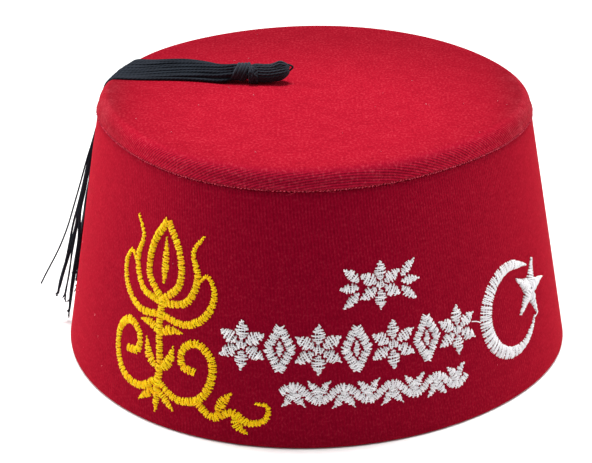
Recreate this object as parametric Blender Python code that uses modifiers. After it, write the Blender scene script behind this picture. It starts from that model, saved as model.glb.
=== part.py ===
"""A fez: a stiff tapered wall open at its base, a flat crown sewn over the wall's top,
and a black cord tassel bound at its neck that lies on the crown and hangs over the rim.

Metres, +Z up. The origin is the middle of the base, on the surface the hat stands on.
Turns are degrees about +Z from +X, so the front is -90 and the tassel hangs near 175.
"""

import math
from typing import NamedTuple

import bmesh
import bpy
import numpy as np
from mathutils import Vector

# ---- Hat -----------------------------------------------------------------------------
BASE_RADIUS = 0.0950
CROWN_RADIUS = 0.0807
HEIGHT = 0.0964
WALL_THICKNESS = 0.0030
CROWN_THICKNESS = 0.0015
RIM_ROUND = 0.0045  # radius of the crown's turned edge
BAND_DEPTH = 0.0068  # from the crown's face down to the seam
SEAM_LIP = 0.0004  # the crown's sewn edge stands this far proud of the wall
HEM_ROUND = 0.0010
GAP = 0.0003  # clearance between touching pieces
TURN_STEPS = 84  # facets round the hat
POLE = Vector((0.0011, 0.0011, 0.0))  # what the radii are measured from

# ---- Tassel --------------------------------------------------------------------------
NECK_RADIUS = 0.0023
NECK_LENGTH = 0.0100
NECK_END = Vector((-0.0302, 0.0064))  # where the skirt leaves the neck, from the pole
HEAD_RADIUS = 0.0041
HEAD_LENGTH = 0.0105
TIP_LENGTH = 0.0026  # the small pointed loop at the head's end
TIP_RADIUS = 0.0009
BINDING_WRAPS = 4
BINDING_CORD = 0.0008
BINDING_PITCH = 0.0021
SKIRT_RIDGE = 0.0003  # bundles of cord stand this far proud of the skirt's grooves
SKIRT_RIDGES = 16
SKIRT_SECTIONS = 18
FORK_DROP = 0.0120  # below the rim, where the skirt parts into locks
LOCK_ROOT = 0.0030  # length of a lock inside the skirt
LOCK_ROOT_RADIUS = 0.0006
LOCK_RADIUS = 0.0010
LOCK_STEPS = 12


class Lobe(NamedTuple):
    """One wave of the outline seen from above, as shares of the radius."""

    count: int
    cosine: float
    sine: float


BASE_LOBES = (Lobe(2, -0.0117, -0.0030), Lobe(3, 0.0179, 0.0117))
TOP_LOBES = (Lobe(2, -0.0324, 0.0129), Lobe(3, 0.0068, 0.0094), Lobe(4, 0.0121, -0.0114))


class SkirtRow(NamedTuple):
    """The skirt's section at a distance out from the crown's middle along the cloth."""

    run: float
    front: float  # turn of its front edge, degrees
    back: float  # turn of its back edge, degrees
    half_depth: float
    middle: float  # height of its middle above the cloth


SKIRT = (
    SkirtRow(run=0.0302, front=171.0, back=164.8, half_depth=0.0015, middle=0.0042),
    SkirtRow(run=0.0340, front=172.8, back=162.0, half_depth=0.0022, middle=0.0036),
    SkirtRow(run=0.0440, front=173.4, back=155.5, half_depth=0.0021, middle=0.0030),
    SkirtRow(run=0.0620, front=173.3, back=154.5, half_depth=0.0012, middle=0.0020),
    SkirtRow(run=0.0740, front=173.5, back=154.0, half_depth=0.0006, middle=0.0013),
    SkirtRow(run=0.0820, front=173.5, back=154.0, half_depth=0.0006, middle=0.0015),
    SkirtRow(run=0.0960, front=173.5, back=154.0, half_depth=0.0007, middle=0.0017),
)


class Lock(NamedTuple):
    """The free end of one lock of cords below the fork."""

    tip_turn: float  # degrees
    tip_height: float
    tip_stand: float  # clearance of the end from the wall
    tip_radius: float


LOCKS = (  # from the front of the skirt to its back
    Lock(tip_turn=176.2, tip_height=0.0040, tip_stand=0.0010, tip_radius=0.0007),
    Lock(tip_turn=174.8, tip_height=0.0080, tip_stand=0.0036, tip_radius=0.0006),
    Lock(tip_turn=174.2, tip_height=0.0095, tip_stand=0.0064, tip_radius=0.0007),
    Lock(tip_turn=169.6, tip_height=0.0120, tip_stand=0.0018, tip_radius=0.0007),
    Lock(tip_turn=167.0, tip_height=0.0070, tip_stand=0.0026, tip_radius=0.0006),
    Lock(tip_turn=163.2, tip_height=0.0150, tip_stand=0.0010, tip_radius=0.0007),
    Lock(tip_turn=160.6, tip_height=0.0090, tip_stand=0.0022, tip_radius=0.0006),
    Lock(tip_turn=156.4, tip_height=0.0180, tip_stand=0.0012, tip_radius=0.0007),
)

WALL_TOP = HEIGHT - RIM_ROUND  # where the taper ends and the turned edge begins
SEAM_HEIGHT = HEIGHT - BAND_DEPTH
TAPER = math.atan2(BASE_RADIUS - CROWN_RADIUS, WALL_TOP)


def clear_scene():
    """Remove whatever the file holds already."""
    for old in list(bpy.data.objects):
        bpy.data.objects.remove(old)


def material(name, colour, roughness):
    """A Principled BSDF of one linear colour."""
    made = bpy.data.materials.new(name)
    made.use_nodes = True
    shader = made.node_tree.nodes["Principled BSDF"]
    shader.inputs["Base Color"].default_value = (*colour, 1.0)
    shader.inputs["Roughness"].default_value = roughness
    shader.inputs["Metallic"].default_value = 0.0
    made.diffuse_color = (*colour, 1.0)
    return made


def lobed(lobes, turn):
    """Radius factor of an outline at a turn in radians."""
    return 1.0 + sum(
        lobe.cosine * np.cos(lobe.count * turn) + lobe.sine * np.sin(lobe.count * turn)
        for lobe in lobes
    )


def plan_factor(turn, height):
    """Radius factor at a turn and height: the base's outline blends into the top's."""
    share = np.clip(height / WALL_TOP, 0.0, 1.0)
    return lobed(BASE_LOBES, turn) * (1.0 - share) + lobed(TOP_LOBES, turn) * share


def outer_radius(height):
    """The wall's outer radius at a height, before its lobes."""
    return BASE_RADIUS + (CROWN_RADIUS - BASE_RADIUS) * height / WALL_TOP


def arc(centre, radius, start, end, steps):
    """Points (radius, height) on an arc, with angles in degrees from +X towards +Z."""
    angles = np.radians(np.linspace(start, end, steps + 1))
    return [(centre[0] + radius * math.cos(a), centre[1] + radius * math.sin(a)) for a in angles]


def straight(start, end, steps):
    """Points between two ends, with the ends left out."""
    shares = np.linspace(0.0, 1.0, steps + 1)[1:-1]
    return [(start[0] + (end[0] - start[0]) * s, start[1] + (end[1] - start[1]) * s) for s in shares]


def turned(name, profile, collection, closed):
    """Turn a profile about +Z, then push each vertex out or in to the hat's outline.

    The profile runs down the outer side and back up the inner one. An open profile
    starts and ends on the axis.
    """
    mesh = bpy.data.meshes.new(name + "_profile")
    edges = [(i, i + 1) for i in range(len(profile) - 1)]
    if closed:
        edges.append((len(profile) - 1, 0))
    mesh.from_pydata([(r, 0.0, z) for r, z in profile], edges, [])
    guide = bpy.data.objects.new(name + "_profile", mesh)
    collection.objects.link(guide)
    add_screw(guide, TURN_STEPS)
    shell = baked(guide)
    for vertex in shell.vertices:
        turn = math.atan2(vertex.co.y, vertex.co.x)
        factor = plan_factor(turn, vertex.co.z)
        vertex.co.x = vertex.co.x * factor + POLE.x
        vertex.co.y = vertex.co.y * factor + POLE.y
    return placed(name, shell, collection)


def add_screw(guide, steps):
    """A full turn about the guide's own Z axis."""
    screw = guide.modifiers.new("turn", "SCREW")
    screw.axis = "Z"
    screw.angle = math.tau
    screw.steps = steps
    screw.render_steps = steps
    screw.use_merge_vertices = True
    screw.merge_threshold = 0.00001


def baked(source):
    """The evaluated mesh of an object, welded, with the object itself removed."""
    bpy.context.view_layer.update()
    evaluated = source.evaluated_get(bpy.context.evaluated_depsgraph_get())
    mesh = bpy.data.meshes.new_from_object(evaluated)
    mesh.transform(source.matrix_world)
    bpy.data.objects.remove(source)
    work = bmesh.new()
    work.from_mesh(mesh)
    bmesh.ops.remove_doubles(work, verts=work.verts, dist=0.00001)
    bmesh.ops.recalc_face_normals(work, faces=work.faces)
    work.to_mesh(mesh)
    work.free()
    return mesh


def placed(name, mesh, collection):
    """An object of this name that holds the mesh."""
    made = bpy.data.objects.new(name, mesh)
    mesh.name = name
    mesh.shade_smooth()
    mesh.set_sharp_from_angle(angle=math.radians(40.0))
    collection.objects.link(made)
    return made


def side_wall(collection):
    """The tapered wall, with a thin tongue at its top that the crown's edge laps over."""
    shoulder = SEAM_HEIGHT - GAP
    tongue_top = WALL_TOP
    band_inside = CROWN_RADIUS - CROWN_THICKNESS
    lip_inside = outer_radius(SEAM_HEIGHT) + SEAM_LIP - CROWN_THICKNESS
    hem = (BASE_RADIUS - HEM_ROUND, HEM_ROUND)
    outer_top = (outer_radius(shoulder), shoulder)
    outer_low = (BASE_RADIUS, HEM_ROUND)
    inner_low = (BASE_RADIUS - WALL_THICKNESS, 0.0)
    inner_top = (CROWN_RADIUS - WALL_THICKNESS, tongue_top)
    profile = [
        (band_inside - GAP, tongue_top),
        (lip_inside - GAP, shoulder),
        outer_top,
        *straight(outer_top, outer_low, 4),
        *arc(hem, HEM_ROUND, 0.0, -90.0, 3),
        inner_low,
        *straight(inner_low, inner_top, 3),
        inner_top,
    ]
    return turned("side_wall", profile, collection, closed=True)


def crown_top(collection):
    """The crown: a flat face, a rounded rim, and a band turned down to the sewn edge."""
    middle = (CROWN_RADIUS - RIM_ROUND, WALL_TOP)
    lip = outer_radius(SEAM_HEIGHT) + SEAM_LIP
    under = HEIGHT - CROWN_THICKNESS
    profile = [
        (0.0, HEIGHT),
        *straight((0.0, HEIGHT), (middle[0], HEIGHT), 3),
        *arc(middle, RIM_ROUND, 90.0, 0.0, 5),
        (lip, SEAM_HEIGHT + SEAM_LIP),
        (lip, SEAM_HEIGHT),
        (lip - CROWN_THICKNESS, SEAM_HEIGHT),
        *arc(middle, RIM_ROUND - CROWN_THICKNESS, 0.0, 90.0, 3),
        *straight((middle[0], under), (0.0, under), 2),
        (0.0, under),
    ]
    return turned("crown_top", profile, collection, closed=False)


def rim_run():
    """Distance along the outline from the crown's middle to where the wall begins."""
    return CROWN_RADIUS - RIM_ROUND + RIM_ROUND * (math.pi / 2.0 - TAPER)


def above_cloth(run, turn, clearance):
    """The point at a distance along the outline from the crown's middle, held off the cloth.

    The outline is the flat crown, then the rounded rim, then the straight taper.
    """
    flat = CROWN_RADIUS - RIM_ROUND
    if run <= flat:
        radius, height, tilt = run, HEIGHT, math.pi / 2.0
    else:
        tilt = max(math.pi / 2.0 - (run - flat) / RIM_ROUND, TAPER)
        radius = flat + RIM_ROUND * math.cos(tilt)
        height = WALL_TOP + RIM_ROUND * math.sin(tilt)
        down = max(run - rim_run(), 0.0)
        radius += down * math.sin(TAPER)
        height -= down * math.cos(TAPER)
    radius = radius * float(plan_factor(turn, height)) + clearance * math.cos(tilt)
    height += clearance * math.sin(tilt)
    return Vector((POLE.x + radius * math.cos(turn), POLE.y + radius * math.sin(turn), height))


def skirt_row(run):
    """The skirt's section at a distance, read from smooth curves through its table.

    Each column is a cubic through the rows, whose slope at a row is that of its neighbours.
    """
    runs = np.array([row.run for row in SKIRT])
    columns = np.array(SKIRT)[:, 1:]
    slopes = np.gradient(columns, runs, axis=0)
    run = float(np.clip(run, runs[0], runs[-1]))
    low = min(int(np.searchsorted(runs, run, side="right")) - 1, len(SKIRT) - 2)
    step = runs[low + 1] - runs[low]
    share = (run - runs[low]) / step
    ease = share * share * (3.0 - 2.0 * share)
    bend_in = step * share * (1.0 - share) ** 2
    bend_out = -step * share * share * (1.0 - share)
    values = columns[low] * (1.0 - ease) + columns[low + 1] * ease
    values += slopes[low] * bend_in + slopes[low + 1] * bend_out
    return SkirtRow(run, *values)


def fork_run():
    """Distance from the crown's middle to where the skirt parts into locks."""
    return rim_run() + FORK_DROP


def skirt_section(run):
    """Points round the skirt at a distance: a rounded box with a ridge at every other point.

    The box is |across|^3 + |rise|^3 = 1, from the back edge (-1) to the front edge (+1).
    """
    row = skirt_row(run)
    middle_turn = (row.front + row.back) / 2.0
    half_turn = (row.front - row.back) / 2.0
    ridge_turn = math.degrees(SKIRT_RIDGE / run)
    points = []
    for step in range(2 * SKIRT_RIDGES):
        angle = math.tau * step / (2 * SKIRT_RIDGES)
        across, rise = math.cos(angle), math.sin(angle)
        reach = (abs(across) ** 3 + abs(rise) ** 3) ** (-1.0 / 3.0)
        ridge = step % 2
        turn = middle_turn + across * (reach * half_turn + ridge * ridge_turn)
        clearance = row.middle + rise * (reach * row.half_depth + ridge * SKIRT_RIDGE)
        points.append(above_cloth(run, math.radians(turn), clearance))
    return points


def skirt(collection):
    """The skirt from inside the neck to the fork, lofted through its sections."""
    around = 2 * SKIRT_RIDGES
    vertices = []
    for run in np.linspace(SKIRT[0].run, fork_run(), SKIRT_SECTIONS):
        vertices += skirt_section(run)
    last = (SKIRT_SECTIONS - 1) * around
    faces = [tuple(range(around)), tuple(range(last, last + around))]
    for row in range(SKIRT_SECTIONS - 1):
        for step in range(around):
            here = row * around + step
            beside = row * around + (step + 1) % around
            faces.append((here, beside, beside + around, here + around))
    mesh = bpy.data.meshes.new("skirt")
    mesh.from_pydata(vertices, [], faces)
    holder = bpy.data.objects.new("skirt", mesh)
    collection.objects.link(holder)
    return placed("skirt", baked(holder), collection)


def lock_path(index, lock):
    """A lock's middle line and radii, from inside the skirt to its free end."""
    fork = fork_run()
    start = fork - LOCK_ROOT
    end = rim_run() + (WALL_TOP - lock.tip_height) / math.cos(TAPER)
    row = skirt_row(fork)
    share = (index + 0.5) / len(LOCKS)
    root_turn = row.front + (row.back - row.front) * share
    root_share = LOCK_ROOT / (end - start)
    points = []
    radii = []
    for along in np.linspace(0.0, 1.0, LOCK_STEPS + 1):
        hang = max((along - root_share) / (1.0 - root_share), 0.0)
        turn = root_turn + (lock.tip_turn - root_turn) * hang
        clearance = row.middle + (lock.tip_stand - row.middle) * hang**1.3
        points.append(above_cloth(start + (end - start) * along, math.radians(turn), clearance))
        radii.append(float(np.interp(hang, (0.0, 0.2, 1.0), (LOCK_ROOT_RADIUS, LOCK_RADIUS, lock.tip_radius))))
    return points, radii


def tube(name, points, radii, collection):
    """A closed tube through the points, its radius given at each."""
    curve = bpy.data.curves.new(name, "CURVE")
    curve.dimensions = "3D"
    curve.bevel_depth = 1.0
    curve.bevel_resolution = 2
    curve.use_fill_caps = True
    spline = curve.splines.new("POLY")
    spline.points.add(len(points) - 1)
    for knot, point, radius in zip(spline.points, points, radii):
        knot.co = (*point, 1.0)
        knot.radius = radius
    holder = bpy.data.objects.new(name, curve)
    collection.objects.link(holder)
    return placed(name, baked(holder), collection)


def turned_about_tassel(name, profile, collection, closed, steps):
    """Turn a profile of (radius, distance from the neck's end) about the tassel's axis.

    The axis runs level along +X, from the end of the neck to the tip of the head.
    """
    mesh = bpy.data.meshes.new(name)
    edges = [(i, i + 1) for i in range(len(profile) - 1)]
    if closed:
        edges.append((len(profile) - 1, 0))
    mesh.from_pydata([(r, 0.0, z) for r, z in profile], edges, [])
    guide = bpy.data.objects.new(name, mesh)
    collection.objects.link(guide)
    level = HEIGHT + GAP + HEAD_RADIUS
    guide.location = (NECK_END.x + POLE.x, NECK_END.y + POLE.y, level)
    guide.rotation_euler = (0.0, math.pi / 2.0, 0.0)
    add_screw(guide, steps)
    return placed(name, baked(guide), collection)


def tassel_head(collection):
    """The tassel's neck, its swelling head of doubled cords, and the loop at its tip."""
    swell = []
    for share in np.linspace(0.0, 1.0, 9)[1:-1]:
        bulge = math.sin(math.pi * share**0.8) ** 0.6
        radius = NECK_RADIUS + (HEAD_RADIUS - NECK_RADIUS) * bulge
        radius -= (NECK_RADIUS - TIP_RADIUS) * share**4
        swell.append((radius, NECK_LENGTH + share * HEAD_LENGTH))
    end = NECK_LENGTH + HEAD_LENGTH
    profile = [
        (0.0, end + TIP_LENGTH),
        (TIP_RADIUS * 0.6, end + TIP_LENGTH * 0.8),
        (TIP_RADIUS, end),
        *reversed(swell),
        (NECK_RADIUS, NECK_LENGTH),
        (NECK_RADIUS, 0.0),
        (0.0, 0.0),
    ]
    return turned_about_tassel("tassel", profile, collection, closed=False, steps=16)


def tassel(collection, tools):
    """The head with the skirt and each of its locks fused to it."""
    body = tassel_head(collection)
    pieces = [skirt(tools)]
    pieces += [tube(f"lock_{i}", *lock_path(i, lock), tools) for i, lock in enumerate(LOCKS)]
    for piece in pieces:
        union = body.modifiers.new(piece.name, "BOOLEAN")
        union.operation = "UNION"
        union.solver = "EXACT"
        union.object = piece
        piece.hide_render = True
        piece.display_type = "WIRE"
    return body


def tassel_binding(collection):
    """The cord wound round the tassel's neck, as one ring with a ridge for each wrap."""
    inside = NECK_RADIUS + GAP
    groove = inside + BINDING_CORD * 0.6
    ridge = inside + BINDING_CORD
    length = BINDING_WRAPS * BINDING_PITCH
    start = NECK_LENGTH - length - GAP
    profile = [(inside, start + length)]
    for wrap in reversed(range(BINDING_WRAPS)):
        low = start + wrap * BINDING_PITCH
        profile += [
            (groove, low + BINDING_PITCH),
            (ridge, low + BINDING_PITCH * 0.75),
            (ridge, low + BINDING_PITCH * 0.25),
        ]
    profile += [(groove, start), (inside, start)]
    return turned_about_tassel("tassel_binding", profile, collection, closed=True, steps=20)


def main():
    clear_scene()
    hat = bpy.data.collections.new("fez_hat")
    tools = bpy.data.collections.new("tools")
    bpy.context.scene.collection.children.link(hat)
    bpy.context.scene.collection.children.link(tools)
    red = material("red_velour", (0.42, 0.006, 0.022), 0.9)
    deep_red = material("red_velour_crown", (0.55, 0.010, 0.028), 0.9)
    black = material("black_cord", (0.012, 0.013, 0.017), 0.6)
    side_wall(hat).data.materials.append(red)
    crown_top(hat).data.materials.append(deep_red)
    tassel(hat, tools).data.materials.append(black)
    tassel_binding(hat).data.materials.append(black)


main()
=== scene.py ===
"""Looks for a fez: red velour cloth, a sewn crown, a corded tassel and embroidery.

Metres, in the hat's own frame: +Z up, the front at -Y, the middle of the base at the
origin. A turn is an angle about +Z from +X, so the front is at -90 degrees. A run is a
distance along the hat's outline from the crown's middle, over the rim and down the wall.
"""

from __future__ import annotations

import logging
import math
from collections.abc import Callable
from dataclasses import dataclass
from enum import Enum
from functools import partial

import bpy
import numpy as np
from bpy.types import Material, Node, NodeSocket, NodeTree, Object
from mathutils import Matrix, Vector


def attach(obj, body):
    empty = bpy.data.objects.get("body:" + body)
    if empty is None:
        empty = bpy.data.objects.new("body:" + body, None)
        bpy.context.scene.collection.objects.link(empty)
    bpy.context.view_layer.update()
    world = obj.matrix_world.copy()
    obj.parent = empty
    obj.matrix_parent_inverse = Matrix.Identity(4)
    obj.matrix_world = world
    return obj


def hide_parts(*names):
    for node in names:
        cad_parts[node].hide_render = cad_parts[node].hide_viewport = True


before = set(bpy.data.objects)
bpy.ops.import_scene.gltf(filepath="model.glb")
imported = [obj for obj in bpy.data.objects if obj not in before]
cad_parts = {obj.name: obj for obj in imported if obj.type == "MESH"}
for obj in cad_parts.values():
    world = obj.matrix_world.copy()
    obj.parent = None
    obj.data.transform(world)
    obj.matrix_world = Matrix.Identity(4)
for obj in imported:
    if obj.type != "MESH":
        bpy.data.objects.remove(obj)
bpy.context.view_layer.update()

LOG = logging.getLogger("fez")
MM = 0.001
FRONT = -math.pi / 2.0
FULL_TURN = 2.0 * math.pi
SMOOTH = {"interpolation_type": "SMOOTHSTEP"}
NodeAdder = Callable[..., Node]


# ---- Nodes ---------------------------------------------------------------------------


def to_linear(colour: str) -> tuple[float, ...]:
    """Turn an sRGB hex colour into linear RGBA.

    Args:
        colour: "#" and six hex digits.

    Returns:
        Red, green, blue and an alpha of 1.
    """
    channels = np.array([int(colour[i : i + 2], 16) for i in (1, 3, 5)]) / 255.0
    linear = np.where(channels <= 0.04045, channels / 12.92, ((channels + 0.055) / 1.055) ** 2.4)
    return (*linear.tolist(), 1.0)


def plug(node: Node, sockets: dict | tuple) -> None:
    """Fill a node's sockets.

    Args:
        node: The node.
        sockets: What goes in each, by name or number, or in order from the first: a value,
            the output that feeds it, or the node whose first live output does.
    """
    for socket, value in sockets.items() if isinstance(sockets, dict) else enumerate(sockets):
        if isinstance(value, Node):
            value = next(output for output in value.outputs if output.enabled)
        if isinstance(value, NodeSocket):
            node.id_data.links.new(value, node.inputs[socket])
        else:
            node.inputs[socket].default_value = value


def add_node(tree: NodeTree, kind: str, sockets: dict | tuple = (), **settings: object) -> Node:
    """Add a node with its settings, socket values and links.

    Args:
        tree: The node tree.
        kind: The node's type name, less "ShaderNode".
        sockets: What goes in its sockets, as plug takes it.
        **settings: The node's own settings.

    Returns:
        The new node.
    """
    node = tree.nodes.new("ShaderNode" + kind)
    for name, value in settings.items():
        setattr(node, name, value)
    plug(node, sockets)
    return node


# ---- Numbers and meshes --------------------------------------------------------------


@dataclass
class Faces:
    """Faces with one number of corners, their UVs and the material slot they use."""

    corners: np.ndarray
    uv: np.ndarray
    slot: int = 0


@dataclass
class Sheet:
    """Points and the faces between them."""

    points: np.ndarray
    faces: list[Faces]


def all_round(count: int) -> np.ndarray:
    """Even angles round a full turn."""
    return np.linspace(0.0, FULL_TURN, count, endpoint=False)


def ramp(value: np.ndarray, first: float, last: float) -> np.ndarray:
    """Share of the way from one value to another, held from 0 to 1."""
    return np.clip((value - first) / (last - first), 0.0, 1.0)


def eased(share: np.ndarray) -> np.ndarray:
    """A share that starts and stops gently: three times its square less twice its cube."""
    return share * share * (3.0 - 2.0 * share)


def unit(vectors: np.ndarray) -> np.ndarray:
    """Vectors made one long."""
    return vectors / (np.linalg.norm(vectors, axis=-1, keepdims=True) + 1e-12)


def distances(points: np.ndarray) -> np.ndarray:
    """Distance along each row of points from its first."""
    steps = np.linalg.norm(np.diff(points, axis=-2), axis=-1)
    return np.concatenate([np.zeros_like(steps[..., :1]), steps.cumsum(-1)], axis=-1)


def stepped(path: np.ndarray, count: int) -> np.ndarray:
    """Points at even steps along a path.

    Args:
        path: Its points.
        count: How many points to give it.

    Returns:
        The new points.
    """
    reach = distances(path)
    at = np.linspace(0.0, reach[-1], count)
    return np.stack([np.interp(at, reach, column) for column in path.T], axis=-1)


def paired(first: np.ndarray, second: np.ndarray) -> np.ndarray:
    """Two sets of numbers, broadcast together, as pairs."""
    return np.stack(np.broadcast_arrays(first, second), axis=-1)


def through(knots: np.ndarray, values: np.ndarray, at: np.ndarray) -> np.ndarray:
    """Read a smooth curve through a table.

    Between two rows it is the cubic that has both rows' values and slopes, and a row's
    slope is that of the line between its neighbours.

    Args:
        knots: Increasing positions of the rows.
        values: Rows by columns.
        at: Positions to read at, held within the table.

    Returns:
        The values, at's shape by columns.
    """
    slopes = np.gradient(values, knots, axis=0)
    at = np.clip(at, knots[0], knots[-1])
    low = np.clip(np.searchsorted(knots, at, side="right") - 1, 0, len(knots) - 2)
    step = (knots[low + 1] - knots[low])[..., None]
    share = (at - knots[low])[..., None] / step
    bend = values[low] + (values[low + 1] - values[low]) * eased(share)
    bend += slopes[low] * step * share * (1.0 - share) ** 2
    return bend - slopes[low + 1] * step * share * share * (1.0 - share)


def grid(
    points: np.ndarray, uv: np.ndarray, wrap_rows: bool = False, wrap_columns: bool = False
) -> Sheet:
    """Join a grid of points with quads that face along (row step) x (column step).

    Args:
        points: Rows by columns by 3.
        uv: One UV for each point, with one more row or column where that way wraps.
        wrap_rows: Whether the last row joins the first.
        wrap_columns: Whether the last column joins the first.

    Returns:
        The sheet.
    """
    rows, columns = points.shape[:2]
    ways = np.arange(rows - (not wrap_rows)), np.arange(columns - (not wrap_columns))
    i, j = (way.ravel() for way in np.meshgrid(*ways, indexing="ij"))
    steps = ((0, 0), (1, 0), (1, 1), (0, 1))
    corners = [((i + a) % rows) * columns + (j + b) % columns for a, b in steps]
    places = [uv[i + a, j + b] for a, b in steps]
    return Sheet(points.reshape(-1, 3), [Faces(np.stack(corners, 1), np.stack(places, 1))])


def line_back(sheet: Sheet, is_back: np.ndarray) -> None:
    """Move the faces that are the cloth's back to the second material slot.

    Args:
        sheet: The sheet, with one set of faces.
        is_back: Whether each face is the back.
    """
    whole = sheet.faces[0]
    parts = enumerate((~is_back, is_back))
    sheet.faces = [Faces(whole.corners[part], whole.uv[part], slot) for slot, part in parts]


def close_ring(
    sheet: Sheet, ring: np.ndarray, pole: np.ndarray, uv: np.ndarray, slot: int = 0
) -> None:
    """Close a ring of a sheet's points with triangles to a new point.

    Args:
        sheet: The sheet, which gains the point and the triangles.
        ring: Indices round the ring, in the order that faces outwards.
        pole: The new point.
        uv: The UVs of the ring's points, then that of the pole.
        slot: The material slot.
    """
    index, count = len(sheet.points), len(ring)
    sheet.points = np.vstack([sheet.points, pole])
    after = np.roll(np.arange(count), -1)
    corners = np.stack([np.full(count, index), ring, ring[after]], 1)
    places = np.stack([np.repeat(uv[-1:], count, 0), uv[:-1], uv[:-1][after]], 1)
    sheet.faces.append(Faces(corners, places, slot))


def tubes(paths: np.ndarray, radii: np.ndarray, sides: int, seed: int) -> Sheet:
    """Round tubes along many paths at once, closed at both ends.

    Each ring stands square across its path. Its first point is the one before it, moved
    along the path and pushed back into the new cross plane, so that a tube never twists.
    A tube's UV is (share round it + a random whole offset, distance along it).

    Args:
        paths: Tubes by stations by 3.
        radii: Tubes by stations.
        sides: Points round each ring.
        seed: Seed of the offsets.

    Returns:
        All the tubes as one sheet.
    """
    count, stations = paths.shape[:2]
    along = unit(np.gradient(paths, axis=1))
    side = np.cross(along[:, 0], np.eye(3)[np.argmin(np.abs(along[:, 0]), axis=1)])
    across = np.empty_like(paths)
    for station in range(stations):
        tangent = along[:, station]
        side = unit(side - tangent * np.sum(side * tangent, axis=1, keepdims=True))
        across[:, station] = side
    up = np.cross(along, across)
    angle = all_round(sides)[:, None]
    out = across[:, :, None] * np.cos(angle) + up[:, :, None] * np.sin(angle)
    rings = paths[:, :, None] + radii[:, :, None, None] * out
    ways = np.arange(count), np.arange(stations - 1), np.arange(sides)
    t, s, k = (way.ravel() for way in np.meshgrid(*ways, indexing="ij"))
    steps = ((0, 0), (0, 1), (1, 1), (1, 0))
    corners = [(t * stations + s + a) * sides + (k + b) % sides for a, b in steps]
    reach = distances(paths)
    offset = np.random.default_rng(seed).integers(0, 999, count)
    places = [np.stack([(k + b) / sides + offset[t], reach[t, s + a]], 1) for a, b in steps]
    first = np.arange(count)[:, None] * stations * sides + np.arange(sides)[::-1]
    ends = np.vstack([first, first[:, ::-1] + (stations - 1) * sides])
    end_uv = np.repeat(np.tile(offset, 2)[:, None, None], sides, 1) * np.array([1.0, 0.0])
    walls = Faces(np.stack(corners, 1), np.stack(places, 1))
    return Sheet(rings.reshape(-1, 3), [walls, Faces(ends, end_uv)])


def one_tube(path: np.ndarray, radius: float, sides: int, seed: int) -> Sheet:
    """A round tube of one radius along one path, as tubes makes it."""
    return tubes(path[None], np.full((1, len(path)), radius), sides, seed)


def add_object(name: str, data: object) -> Object:
    """Make an object and put it in the scene.

    Args:
        name: Its name.
        data: Its mesh, lamp or camera.

    Returns:
        The object.
    """
    made = bpy.data.objects.new(name, data)
    bpy.context.scene.collection.objects.link(made)
    return made


def add_piece(
    name: str,
    sheets: list[Sheet],
    materials: list[Material],
    replaces: tuple[str, ...] = (),
) -> None:
    """Make one piece of the hat from its sheets, riding on the hat.

    Args:
        name: The piece's name.
        sheets: The surfaces that it is made of.
        materials: Its materials, in the order of the sheets' slots.
        replaces: The solids that it stands for.
    """
    offsets = np.cumsum([0] + [len(sheet.points) for sheet in sheets])
    groups = [(faces, offset) for sheet, offset in zip(sheets, offsets) for faces in sheet.faces]
    points = np.vstack([sheet.points for sheet in sheets])
    corners = np.concatenate([(faces.corners + offset).ravel() for faces, offset in groups])
    sizes = np.concatenate([np.full(len(f.corners), f.corners.shape[1]) for f, _ in groups])
    slots = np.concatenate([np.full(len(f.corners), f.slot) for f, _ in groups])
    uv = np.concatenate([faces.uv.reshape(-1, 2) for faces, _ in groups])
    mesh = bpy.data.meshes.new(name)
    mesh.vertices.add(len(points))
    mesh.vertices.foreach_set("co", points.astype(np.float32).ravel())
    mesh.loops.add(len(corners))
    mesh.loops.foreach_set("vertex_index", corners.astype(np.int32))
    mesh.polygons.add(len(sizes))
    mesh.polygons.foreach_set("loop_start", (np.cumsum(sizes) - sizes).astype(np.int32))
    mesh.polygons.foreach_set("material_index", slots.astype(np.int32))
    mesh.uv_layers.new(name="surface").data.foreach_set("uv", uv.astype(np.float32).ravel())
    mesh.update(calc_edges=True)
    mesh.validate()
    mesh.shade_smooth()
    for material in materials:
        mesh.materials.append(material)
    piece = add_object(name, mesh)
    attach(piece, "root")
    if replaces:
        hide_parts(*replaces)
    LOG.info("%s: %d points, %d triangles", name, len(points), int((sizes - 2).sum()))


# ---- The hat's form ------------------------------------------------------------------


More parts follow.
